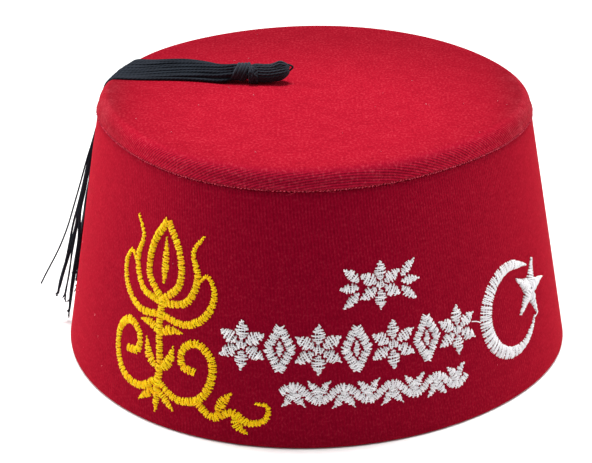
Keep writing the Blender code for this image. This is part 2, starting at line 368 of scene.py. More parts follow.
@dataclass(frozen=True)
class HatForm:
    """The outer form: a tapered wall, a rounded rim and a flat crown.

    A radius is a plain one times a factor, 1 plus a few waves round the hat, which blends
    from the base's waves to the crown's with the height. A row of waves is (how many round
    the hat, share of cosine, share of sine).
    """

    base_radius: float = 0.0950
    crown_radius: float = 0.0807
    mean_radius: float = 0.0880
    height: float = 0.0964
    rim_round: float = 0.0045
    band_depth: float = 0.0068
    seam_lip: float = 0.0004  # how far the sewn edge stands proud of the wall
    wall_thickness: float = 0.0030
    crown_thickness: float = 0.0015
    hem_round: float = 0.0010
    pole: tuple[float, float] = (0.0011, 0.0011)
    base_waves: tuple = ((2, -0.0117, -0.0030), (3, 0.0179, 0.0117))
    top_waves: tuple = ((2, -0.0324, 0.0129), (3, 0.0068, 0.0094), (4, 0.0121, -0.0114))
    dent_turn: float = 160.0  # degrees: the tassel's cords press the rim in here
    dent_width: float = 17.0
    dent_depth: float = 0.0011
    dent_rise: tuple[float, float] = (0.072, 0.090)  # heights where it begins and is full
    drawing_level: float = 0.036  # height of the outline that drawings are measured along

    @property
    def wall_top(self) -> float:
        """Height where the taper ends and the rounded rim begins."""
        return self.height - self.rim_round

    @property
    def seam_height(self) -> float:
        """Height of the crown's sewn edge."""
        return self.height - self.band_depth

    @property
    def lip(self) -> float:
        """Plain radius of the crown's sewn edge."""
        return self.outer_radius(self.seam_height) + self.seam_lip

    @property
    def taper(self) -> float:
        """The wall's lean, in radians from upright."""
        return math.atan2(self.base_radius - self.crown_radius, self.wall_top)

    @property
    def rim_run(self) -> float:
        """Run at which the rounded rim meets the wall's straight taper."""
        return self.crown_radius - self.rim_round + self.rim_round * (math.pi / 2 - self.taper)

    def wall_run(self, height: np.ndarray) -> np.ndarray:
        """Runs of heights on the wall."""
        return self.rim_run + (self.wall_top - height) / math.cos(self.taper)

    def outer_radius(self, height: np.ndarray) -> np.ndarray:
        """The wall's plain outer radius at heights."""
        return self.base_radius + (self.crown_radius - self.base_radius) * height / self.wall_top

    def factor(self, turn: np.ndarray, height: np.ndarray) -> np.ndarray:
        """Radius factor, blended from the two tables of waves.

        Args:
            turn: Turns in radians.
            height: Heights.

        Returns:
            The factors.
        """
        base, top = (
            1.0 + sum(c * np.cos(n * turn) + s * np.sin(n * turn) for n, c, s in waves)
            for waves in (self.base_waves, self.top_waves)
        )
        share = ramp(height, 0.0, self.wall_top)
        return base * (1.0 - share) + top * share

    def ring(self, turn: np.ndarray, radius: np.ndarray, height: np.ndarray) -> np.ndarray:
        """Points at plain radii and heights, pushed out to the hat's own outline.

        The tassel's dent is a bell round the hat. It fades in up the wall and out towards
        the crown's middle, and lowers the rim by half of what it presses it in.

        Args:
            turn: Turns in radians.
            radius: Plain radii.
            height: Heights.

        Returns:
            Points, in the arguments' common shape by 3.
        """
        turn, radius, height = np.broadcast_arrays(turn, radius, height)
        away = np.degrees(turn - math.radians(self.dent_turn) + math.pi) % 360.0 - 180.0
        bell = np.exp(-((away / self.dent_width) ** 2))
        dent = self.dent_depth * bell * eased(ramp(height, *self.dent_rise))
        reach = ramp(radius, 0.0, self.crown_radius)
        grown = radius * self.factor(turn, height) - dent * reach**2
        x = self.pole[0] + grown * np.cos(turn)
        y = self.pole[1] + grown * np.sin(turn)
        return np.stack([x, y, height - 0.5 * dent * reach**8], axis=-1)

    def place(self, turn: np.ndarray, run: np.ndarray, lift: np.ndarray) -> np.ndarray:
        """Points at turns and runs, held off the cloth by a lift.

        The outline is level out to the rim, then an arc, then the straight taper. The lift
        is along the outline's own normal, in the upright plane through the pole.

        Args:
            turn: Turns in radians.
            run: Runs.
            lift: Distances from the cloth.

        Returns:
            Points, in the arguments' common shape by 3.
        """
        turn, run, lift = np.broadcast_arrays(turn, run, lift)
        flat = self.crown_radius - self.rim_round
        tilt = np.clip(math.pi / 2 - (run - flat) / self.rim_round, self.taper, math.pi / 2)
        down = np.maximum(run - self.rim_run, 0.0)
        radius = np.minimum(run, flat) + self.rim_round * np.cos(tilt) + down * math.sin(self.taper)
        height = self.wall_top + self.rim_round * np.sin(tilt) - down * math.cos(self.taper)
        out = lift * np.cos(tilt)
        lifted = [out * np.cos(turn), out * np.sin(turn), lift * np.sin(tilt)]
        return self.ring(turn, radius, height) + np.stack(lifted, axis=-1)

    def on_wall(self, drawing: np.ndarray, lift: np.ndarray) -> np.ndarray:
        """Points of a drawing laid on the wall's front.

        Args:
            drawing: Points (across, up) in millimetres. Across is measured from the front,
                along the wall's outline at the drawing level, and up the slope from the base.
            lift: Distances from the cloth, in metres.

        Returns:
            Points, in the drawing's shape.
        """
        turns = np.linspace(FRONT - 1.5, FRONT + 1.5, 1201)  # the front half, finely
        level = np.full_like(turns, self.drawing_level)
        reach = distances(self.ring(turns, self.outer_radius(self.drawing_level), level))
        reach -= np.interp(FRONT, turns, reach)
        turn = np.interp(drawing[..., 0] * MM, reach, turns)
        return self.place(turn, self.wall_run(0.0) - drawing[..., 1] * MM, lift)


# ---- Finishes ------------------------------------------------------------------------


def new_material(name: str) -> tuple[Material, NodeAdder, Node]:
    """Make a material with one Principled BSDF.

    Args:
        name: The finish's name.

    Returns:
        The material, add_node for its tree, and its shader node.
    """
    material = bpy.data.materials.new(name)
    material.use_nodes = True
    tree = material.node_tree
    return material, partial(add_node, tree), tree.nodes["Principled BSDF"]


class RibArea(Enum):
    """Where the wales show through the pile."""

    OVER_RIM = "over the rim"  # by distance from the crown's middle, in the cloth laid flat
    DOWN_WALL = "down the wall"  # by distance down the wall


@dataclass(frozen=True)
class KnittedVelour:
    """Cotton velour, knitted and sheared: a short dense pile over ribs, or wales.

    The cloth is deep red face on and paler at a grazing view, where only the pile's tips
    show: a painted sheen, mixed into the colour by the facing angle. Where the cloth is
    pulled taut round an edge the pile parts and the wales show.
    """

    name: str
    rib_area: RibArea
    deep: str = "#840221"
    pale: str = "#B31328"
    fleck: str = "#F4C4CA"  # the pile's pale tips
    fleck_share: float = 0.040
    grain: float = 0.85 * MM  # tufts of pile that lean together
    grain_stretch: float = 1.0  # how much longer the tufts are than wide
    grain_contrast: float = 0.95
    mottle: float = 8.0 * MM  # patches brushed one way
    mottle_contrast: float = 0.34
    rib_spacing: float = 0.94 * MM
    rib_turn: float = 7.0  # degrees from the UV's first axis to the wales
    rib_contrast: float = 0.36
    rib_wander: float = 12.0 * MM  # size of the waves that bend the wales
    rib_edge: float = 3.0 * MM  # size of the patches by which they come and go
    rib_from: float = 0.0788  # where the wales begin to show
    rib_to: float = 0.0797  # where they show fully
    rib_least: float = 0.0
    late: float = 0.0  # how much further out the wales begin near the front's right
    late_middle: tuple[float, ...] = (0.031, -0.074, 0.0)  # that place on the flat cloth
    late_reach: float = 0.035
    rim_painted_light: float = 0.0  # painted light on the rim's fold, where its curve shades it
    side_sheen: str = "#E8A0AC"  # painted pink sheen at the crown's two sides
    lay: float = 0.0  # painted shade, darker far from the crown's front
    far_shade_middle: tuple[float, ...] = (0.0, -0.03, 0.0964)  # where the painted shade is least

    def ribs(self, node: NodeAdder, uv: NodeSocket) -> tuple[Node, Node]:
        """The wales: a sine across them, and how far they show.

        Args:
            node: Adds a node.
            uv: The cloth's own place.

        Returns:
            The sine, and the share from 0 to 1.
        """
        turn = math.radians(self.rib_turn)
        across = (-math.sin(turn), math.cos(turn), 0.0)
        across = node("VectorMath", (uv, across), operation="DOT_PRODUCT")
        wander = node("TexNoise", {"Vector": uv, "Scale": 1.0 / self.rib_wander, "Detail": 1.0})
        phase = node("Math", (across, FULL_TURN / self.rib_spacing), operation="MULTIPLY")
        phase = node("Math", (wander, 5.0, phase), operation="MULTIPLY_ADD")
        wave = node("Math", (phase,), operation="SINE")
        if self.rib_area is RibArea.OVER_RIM:
            shares = (self.rib_least, 1.0)
            near = node("VectorMath", (uv, self.late_middle), operation="DISTANCE")
            delay = node("MapRange", (near, 0.0, self.late_reach, self.late, 0.0), **SMOOTH)
            reach = node("VectorMath", (uv,), operation="LENGTH")
            reach = node("Math", (reach, delay), operation="SUBTRACT")
        else:
            shares = (1.0, self.rib_least)
            reach = node("SeparateXYZ", (uv,)).outputs["Y"]
        ragged = node("TexNoise", {"Vector": uv, "Scale": 1.0 / self.rib_edge, "Detail": 2.0})
        swing = 1.6 * MM  # how far the patches move the wales' beginning
        reach = node("Math", (ragged, swing, reach), operation="MULTIPLY_ADD")
        limits = (self.rib_from + swing / 2.0, self.rib_to + swing / 2.0)
        return wave, node("MapRange", (reach, *limits, *shares), **SMOOTH)

    def paint_side_sheen(self, node: NodeAdder, side: Node, patches: Node, colour: Node) -> Node:
        """Mix a painted pink sheen into the crown's two sides, in patches.

        Args:
            node: Adds a node.
            side: Distance to the left or the right on the flat cloth.
            patches: A noise.
            colour: The colour so far.

        Returns:
            The new colour.
        """
        share = node("MapRange", (side, 0.067, 0.082, 0.0, 0.06), **SMOOTH)
        patch = node("MapRange", (patches, 0.30, 0.70))
        share = node("Math", (share, patch), operation="MULTIPLY")
        sockets = {0: share, 6: colour, 7: to_linear(self.side_sheen)}
        return node("Mix", sockets, data_type="RGBA")

    def paint_rim_light_and_side_shade(self, node: NodeAdder, uv: NodeSocket, side: Node, value: Node) -> Node:
        """Paint light on the rim's fold, where its curve shades it, with painted shade at the
        sides.

        Args:
            node: Adds a node.
            uv: The cloth laid flat.
            side: Distance to the left or the right on it.
            value: The brightness so far.

        Returns:
            The new brightness.
        """
        reach = node("VectorMath", (uv,), operation="LENGTH")
        spans = (  # measure, where the change begins and ends, and the gain it ends at
            (side, 0.060, 0.078, 0.80),
            (reach, 0.0762, 0.0786, 1.0 + self.rim_painted_light),
            (reach, 0.0826, 0.0846, 0.97),
        )
        for measure, first, last, end in spans:
            share = node("MapRange", (measure, first, last, 1.0, end), **SMOOTH)
            value = node("Math", (value, share), operation="MULTIPLY")
        return value

    def build(self) -> Material:
        """Make the finish.

        Returns:
            The material.
        """
        material, node, shader = new_material(self.name)
        place = node("TexCoord")
        uv = place.outputs["UV"]
        tuft = node("VectorMath", (uv, (1.0, 1.0 / self.grain_stretch, 1.0)), operation="MULTIPLY")
        grain = {"Vector": tuft, "Scale": 1.0 / self.grain, "Detail": 3.0, "Roughness": 0.6}
        mottle = {"Vector": uv, "Scale": 1.0 / self.mottle, "Detail": 5.0, "Roughness": 0.65}
        grain, mottle = node("TexNoise", grain), node("TexNoise", mottle)
        wave, shown = self.ribs(node, uv)
        # Painted sheen: deep red face on, pale at a grazing view.
        graze = node("LayerWeight", {"Blend": 0.5}).outputs["Facing"]
        sockets = {0: graze, 6: to_linear(self.deep), 7: to_linear(self.pale)}
        colour = node("Mix", sockets, data_type="RGBA")
        tips = node("Math", (mottle, 0.25, grain), operation="MULTIPLY_ADD")
        speck = node("MapRange", (tips, 0.63, 0.93, 0.0, self.fleck_share))
        sockets = {0: speck, 6: colour, 7: to_linear(self.fleck)}
        colour = node("Mix", sockets, data_type="RGBA")
        plain = 1.0 - 0.5 * (self.grain_contrast + self.mottle_contrast)
        rib = node("Math", (wave, shown), operation="MULTIPLY")
        value = plain
        gains = (self.grain_contrast, self.mottle_contrast, self.rib_contrast)
        for pattern, gain in zip((grain, mottle, rib), gains):
            value = node("Math", (pattern, gain, value), operation="MULTIPLY_ADD")
        # Painted shade: darker with distance from a point above the crown's front.
        away = node("VectorMath", (place.outputs["Object"], self.far_shade_middle), operation="DISTANCE")
        away = node("MapRange", (away, 0.040, 0.095, 1.0, 1.0 - self.lay))
        value = node("Math", (value, away), operation="MULTIPLY")
        # Painted light on the rim's fold, painted shade and a painted pink sheen at the sides.
        if self.rim_painted_light:
            side = node("SeparateXYZ", (uv,)).outputs["X"]
            side = node("Math", (side,), operation="ABSOLUTE")
            value = self.paint_rim_light_and_side_shade(node, uv, side, value)
            colour = self.paint_side_sheen(node, side, mottle, colour)
        shaded = node("VectorMath", {0: colour, "Scale": value}, operation="SCALE")
        height = node("Math", (rib, 0.30, grain), operation="MULTIPLY_ADD")
        bump = node("Bump", {"Strength": 0.35, "Distance": 0.22 * MM, "Height": height})
        plug(shader, {"Base Color": shaded, "Normal": bump})
        plug(shader, {"Roughness": 0.95, "Specular IOR Level": 0.02})
        return material


@dataclass(frozen=True)
class ClothBack:
    """The reverse of the velour on its stiffened backing: flat, woven and dull."""

    name: str = "woven_cloth_back"
    colour: str = "#6E1020"
    shade: str = "#4A0814"
    thread: float = 0.8 * MM  # coarser than the real one, so that the weave shows

    def build(self) -> Material:
        """Make the finish.

        Returns:
            The material.
        """
        material, node, shader = new_material(self.name)
        parts = node("SeparateXYZ", (node("TexCoord").outputs["UV"],))
        waves = []
        for axis in ("X", "Y"):
            phase = (parts.outputs[axis], FULL_TURN / self.thread)
            phase = node("Math", phase, operation="MULTIPLY")
            waves.append(node("Math", (phase,), operation="SINE"))
        weave = node("Math", tuple(waves), operation="MULTIPLY")
        share = node("MapRange", (weave, -1.0))
        sockets = {0: share, 6: to_linear(self.shade), 7: to_linear(self.colour)}
        colour = node("Mix", sockets, data_type="RGBA")
        bump = node("Bump", {"Strength": 0.4, "Distance": 0.2 * MM, "Height": weave})
        plug(shader, {"Base Color": colour, "Normal": bump, "Roughness": 0.85})
        return material


@dataclass(frozen=True)
class TwistedYarn:
    """Yarn of twisted plies, such as tassel cord or embroidery thread.

    The plies show as slanted ridges, with painted shade in the valleys between them, and
    smooth filament gives a soft line of light.
    """

    name: str
    colour: str
    shade: str
    roughness: float
    sheen: float
    sheen_tint: str
    twist: float  # length of one ply's ridge along the yarn
    plies: int = 2
    specular: float = 0.5
    ply_valley_shade: float = 0.16  # painted shade: how much darker the valleys between the plies are
    patch: float = 6.25 * MM  # stretches of the yarn that took the dye unlike the rest

    def build(self) -> Material:
        """Make the finish.

        Returns:
            The material.
        """
        material, node, shader = new_material(self.name)
        uv = node("TexCoord").outputs["UV"]
        rates = (FULL_TURN * self.plies, FULL_TURN / self.twist, 0.0)
        spiral = node("VectorMath", (uv, rates), operation="DOT_PRODUCT")
        ridge = node("Math", (spiral,), operation="SINE")
        along = node("VectorMath", (uv, (1.0, 1.0 / self.patch, 1.0)), operation="MULTIPLY")
        vary = node("TexNoise", {"Vector": along, "Scale": 1.0, "Detail": 2.0})
        # Painted shade in the valleys between the plies, over random patches of dye.
        value = node("Math", (ridge, self.ply_valley_shade, vary), operation="MULTIPLY_ADD")
        share = node("MapRange", (value, 0.25, 0.75))
        sockets = {0: share, 6: to_linear(self.shade), 7: to_linear(self.colour)}
        colour = node("Mix", sockets, data_type="RGBA")
        bump = node("Bump", {"Strength": 0.5, "Distance": 0.08 * MM, "Height": ridge})
        plug(shader, {"Base Color": colour, "Normal": bump, "Roughness": self.roughness})
        plug(shader, {"Specular IOR Level": self.specular, "Sheen Weight": self.sheen})
        plug(shader, {"Sheen Tint": to_linear(self.sheen_tint)})
        return material


@dataclass(frozen=True)
class StudioPaper:
    """A sweep of matt white paper."""

    name: str = "white_paper"
    colour: str = "#FAFAFA"

    def build(self) -> Material:
        """Make the finish.

        Returns:
            The material.
        """
        material, _, shader = new_material(self.name)
        plug(shader, {"Base Color": to_linear(self.colour), "Roughness": 0.95})
        plug(shader, {"Specular IOR Level": 0.1})
        return material


# The wall's velour: a fine even pile brushed downwards, so its wales are faint and upright.
# Painted shade darkens it down the wall and round its sides.
WALL_VELOUR = KnittedVelour(
    "wall_velour", RibArea.DOWN_WALL, rib_spacing=1.15 * MM, rib_turn=84.0, rib_contrast=0.13,
    rib_from=0.004, rib_to=0.060, rib_least=0.5, grain=0.60 * MM, grain_stretch=1.7,
    grain_contrast=0.85, fleck_share=0.021, mottle=3.5 * MM, mottle_contrast=0.45, lay=0.12,
)
# The crown's velour: its pile stands up and sparkles, and its wales open round the rim.
# It has painted light on the rim's fold, painted shade at its sides and back, and a
# painted pink sheen at its sides.
CROWN_VELOUR = KnittedVelour(
    "crown_velour", RibArea.OVER_RIM, "#810A23", "#AE1327", grain_stretch=1.6, lay=0.32,
    late=1.3 * MM, rim_painted_light=0.32,
)
# Velour pinched in the seam: matt, its cut ends outwards, painted paler pink than the cloth
# for the light its edge catches from above, with painted shade in the valleys of its twist.
PINCHED_EDGE = TwistedYarn(
    "pinched_velour_edge", "#C84054", "#7A0E22", roughness=0.95, sheen=0.0,
    sheen_tint="#FF90A0", twist=1.1 * MM, plies=1, specular=0.02, ply_valley_shade=0.26,
)
# Polyester cord of three plies: near black, with a faint cool light along it.
TASSEL_CORD = TwistedYarn(
    "black_polyester_cord", "#20262F", "#161A21", roughness=0.60, sheen=0.12,
    sheen_tint="#8A90A0", twist=1.6 * MM, plies=3, specular=0.08,
)
# The same cord, roughened by handling: rougher, with more sheen from its loose fibres,
# and painted lighter and greyer, as painted light on the head and binding.
MATTED_CORD_PAINTED_LIGHTER = TwistedYarn(
    "black_matted_cord_painted_lighter", "#31363E", "#262A31", roughness=0.75, sheen=0.25,
    sheen_tint="#8A90A0", twist=1.6 * MM, plies=3, specular=0.08,
)
# Rayon embroidery thread, white: bright silky filament.
WHITE_THREAD = TwistedYarn(
    "white_rayon_thread", "#FFFFFF", "#F0ECF2", roughness=0.30, sheen=0.6,
    sheen_tint="#FFFFFF", twist=0.6 * MM, specular=1.0,
)
# Rayon embroidery thread, gold: a strong yellow, painted orange in the shade of the valleys
# between its plies and in patches of uneven dye.
GOLD_THREAD = TwistedYarn(
    "gold_rayon_thread", "#FFF000", "#FFAE00", roughness=0.42, sheen=0.0,
    sheen_tint="#FFF2A0", twist=0.6 * MM, specular=0.15,
)
# Cotton lint: thin, pale and dull.
LINT_FIBRE = TwistedYarn(
    "lint_fibre", "#E88C98", "#D46070", roughness=0.7, sheen=0.1, sheen_tint="#FFFFFF",
    twist=1.0 * MM,
)


# ---- Cloth ---------------------------------------------------------------------------


def line(start: complex, end: complex, steps: int) -> np.ndarray:
    """Points (radius + 1j * height) on a straight line, its first left out."""
    return start + (end - start) * np.linspace(0.0, 1.0, steps + 1)[1:]


def arc(centre: complex, radius: float, start: float, end: float, steps: int) -> np.ndarray:
    """Points (radius + 1j * height) on an arc, its first left out.

    Args:
        centre: Its middle.
        radius: Its own radius.
        start: Angle in degrees from outwards towards up.
        end: Angle at its end.
        steps: Steps along it.

    Returns:
        The points.
    """
    angle = np.radians(np.linspace(start, end, steps + 1)[1:])
    return centre + radius * (np.cos(angle) + 1j * np.sin(angle))


@dataclass
class WallCloth:
    """The tapered wall of velour on a stiff back, open at its base."""

    form: HatForm
    columns: int = 360
    unevenness: float = 0.00012
    gap: float = 0.0003  # between its tongue and the crown's band over it
    bevel: float = 0.0004

    def profile(self) -> tuple[np.ndarray, np.ndarray]:
        """Its section: down the outside from behind the crown's edge, round the hem, and up.

        Returns:
            Its points (radius + 1j * height), and whether the faces after each are the back.
        """
        form, hem, bevel = self.form, self.form.hem_round, self.bevel
        seam = form.seam_height - self.gap
        tuck = form.crown_thickness + self.gap
        start = complex(form.crown_radius - tuck, form.wall_top)
        shoulder = complex(form.outer_radius(seam) + form.seam_lip - tuck, seam)
        outer = complex(form.outer_radius(seam), seam - bevel)
        low = complex(form.base_radius, hem)
        inner_low = low - form.wall_thickness
        inner_top = complex(form.crown_radius - form.wall_thickness, form.wall_top)
        outside = [
            np.array([start]),
            line(start, shoulder, 3),
            line(shoulder, outer + bevel * (1j - 1.0), 1),
            line(outer + bevel * (1j - 1.0), outer, 1),
            line(outer, low, 44),
            arc(low - hem, hem, 0.0, -90.0, 5),
            line(low - hem - 1j * hem, inner_low + hem - 1j * hem, 1),
        ]
        inside = [arc(inner_low + hem, hem, -90.0, -180.0, 4), line(inner_low, inner_top, 22)]
        section = np.concatenate(outside + inside)
        return section, np.arange(len(section)) >= sum(map(len, outside))

    def build(self, velour: Material, back: Material) -> None:
        """Make the wall: the section carried round the hat, each ring at its own radii.

        Args:
            velour: The outside's finish.
            back: The inside's finish.
        """
        form = self.form
        section, is_back = self.profile()
        radius, height = section.real[:, None], section.imag[:, None]
        turn = all_round(self.columns)
        ripple = np.sin(5 * turn + 0.6) + 0.7 * np.sin(9 * turn + 2.0) + 0.5 * np.sin(14 * turn)
        uneven = self.unevenness * np.sin(np.pi * ramp(height, 0.0, form.seam_height)) * ripple
        points = form.ring(turn, radius + uneven, height)
        reach = np.append(0.0, np.abs(np.diff(section, append=section[0])).cumsum())
        around = np.linspace(0.0, FULL_TURN, self.columns + 1) * form.mean_radius
        sheet = grid(points, paired(around, reach[:, None]), wrap_rows=True, wrap_columns=True)
        line_back(sheet, np.repeat(is_back, self.columns))
        add_piece("wall_cloth", [sheet], [velour, back], ("side_wall",))


@dataclass
class CrownCloth:
    """The flat crown, its rounded rim, and the band turned down to a sewn edge."""

    form: HatForm
    columns: int = 360
    unevenness: float = 0.00018
    swell_size: float = 0.05  # of the face's slow ups and downs
    edge_steps: int = 8  # round the folded edge

    def profile(self) -> tuple[np.ndarray, int]:
        """Its section: out over the face, round the rim, down the band, and back beneath.

        Returns:
            Its points (radius + 1j * height), and how many of them are on the outside.
        """
        form = self.form
        flat = form.crown_radius - form.rim_round
        rim = complex(flat, form.wall_top)
        half = form.crown_thickness / 2.0
        edge = complex(form.lip - half, form.seam_height + half)
        under = form.height - form.crown_thickness
        outside = [
            line(1j * form.height, complex(flat, form.height), 30),
            arc(rim, form.rim_round, 90.0, 0.0, 14),
            line(complex(form.crown_radius, form.wall_top), edge + half, 5),
        ]
        inside = [
            arc(edge, half, 0.0, -180.0, self.edge_steps),
            line(edge - half, complex(form.crown_radius - 2 * half, form.wall_top), 3),
            arc(rim, form.rim_round - form.crown_thickness, 0.0, 90.0, 6),
            line(complex(flat, under), 1j * under, 12),
        ]
        return np.concatenate(outside + inside)[:-1], sum(map(len, outside))

    def build(self, velour: Material, back: Material) -> None:
        """Make the crown: the section carried round the hat, with a slightly uneven face.

        The UV is the cloth laid flat: (run cos turn, run sin turn), so that wales which are
        straight on the face stay one set of lines over the rim and down the band.

        Args:
            velour: The outside's finish.
            back: The underside's finish.
        """
        form = self.form
        section, outside = self.profile()
        radius = section.real
        turn = all_round(self.columns)
        points = form.ring(turn, radius[:, None], section.imag[:, None])
        x, y = points[..., 0] / self.swell_size, points[..., 1] / self.swell_size
        swell = np.sin(2.1 * x + 0.9) * np.cos(1.7 * y - 0.4) + 0.5 * np.sin(4.3 * x - 2.9 * y)
        fade = ramp(radius, form.crown_radius, 0.0) ** 0.5
        points[..., 2] += self.unevenness * swell * fade[:, None]
        reach = np.abs(np.diff(section, prepend=1j * form.height)).cumsum()
        reach[outside:] = np.interp(radius[outside:], [0.0, form.crown_radius], [0.0, 0.09])
        uv = reach[:, None, None] * np.stack([np.cos(turn), np.sin(turn)], axis=-1)
        uv = np.concatenate([uv, uv[:, :1]], axis=1)
        sheet = grid(points, uv, wrap_columns=True)
        last = len(section) - 1
        line_back(sheet, np.repeat(np.arange(last) >= outside + self.edge_steps, self.columns))
        ring, middle = np.arange(self.columns), np.zeros((1, 2))
        top = np.array([*form.pole, form.height])
        close_ring(sheet, ring, top, np.vstack([uv[0, :-1], middle]))
        low, under = last * self.columns + ring[::-1], top - [0.0, 0.0, form.crown_thickness]
        close_ring(sheet, low, under, np.vstack([uv[-1, :-1][::-1], middle]), 1)
        add_piece("crown_cloth", [sheet], [velour, back], ("crown_top",))


@dataclass
class SeamEdge:
    """The crown's sewn edge: a thin uneven ridge of pinched cloth with small tufts."""

    form: HatForm
    spacing: float = 0.0017  # from tuft to tuft
    sunk: float = 0.00016  # the ridge's middle lies this far inside and above the edge
    thickness: float = 0.00022
    thickness_wander: float = 0.00010
    height_wander: float = 0.00011
    columns: int = 1400

    def ridge(self) -> Sheet:
        """The ridge: a closed tube along the edge.

        Its middle and its thickness wander as sums of waves round the hat.

        Returns:
            The ridge.
        """
        form, sides = self.form, 8
        turn = all_round(self.columns)
        draw = np.random.default_rng(4)
        waves = draw.integers(90, 620, (2, 24, 1))
        phase = draw.uniform(0.0, FULL_TURN, (2, 24, 1))
        wander = np.sin(waves * turn + phase).sum(axis=1)[..., None] / math.sqrt(12.0)
        thick = np.clip(self.thickness + self.thickness_wander * wander[0], 0.00006, 0.0005)
        angle = all_round(sides)
        height = form.seam_height + self.sunk + self.height_wander * wander[1]
        radius = form.lip - self.sunk + thick * np.cos(angle)
        points = form.ring(turn[:, None], radius, height - thick * np.sin(angle))
        along = np.linspace(0.0, 0.495, self.columns + 1)[:, None]
        uv = paired(np.linspace(0.0, 1.0, sides + 1), along)
        return grid(points, uv, wrap_rows=True, wrap_columns=True)

    def build(self, edge: Material) -> None:
        """Make the ridge and its tufts, each a short hair that curls down over the wall.

        A tuft bulges as a sine of its step and hangs by the step's power 1.4.

        Args:
            edge: The finish of the pinched edge.
        """
        form = self.form
        draw = np.random.default_rng(11)
        count = int(FULL_TURN * form.crown_radius / self.spacing)
        turn = draw.uniform(0.0, FULL_TURN, (count, 1))
        size = draw.gamma(2.0, 0.5, (count, 1))
        step = np.linspace(0.0, 1.0, 6)
        lean = draw.normal(0.0, 0.0007, (count, 1)) * size * step**1.5
        bulge, hang = 0.12 * MM * size, 0.42 * MM * size
        radius = form.lip + 0.04 * MM + bulge * np.sin(2.2 * step)
        height = form.seam_height + 0.20 * MM - hang * step**1.4
        paths = form.ring(turn + lean / form.crown_radius, radius, height)
        radii = draw.uniform(0.00004, 0.00009, (count, 1)) * np.linspace(1.3, 0.6, 6)
        sheets = [self.ridge(), tubes(paths, radii, 5, 3)]
        add_piece("seam_edge", sheets, [edge])


# ---- Tassel --------------------------------------------------------------------------


@dataclass(frozen=True)
class Strand:
    """Cords that hang together along one line of points. Its lengths are in millimetres."""

    cords: int
    spread: float  # how far its cords lie from its line
    ragged: float  # how unlike their ends are
    thin: float  # share of their thickness that fraying has left
    sway: float  # how wavy they are
    points: tuple[tuple[float, float, float], ...]  # height, turn in degrees, distance off


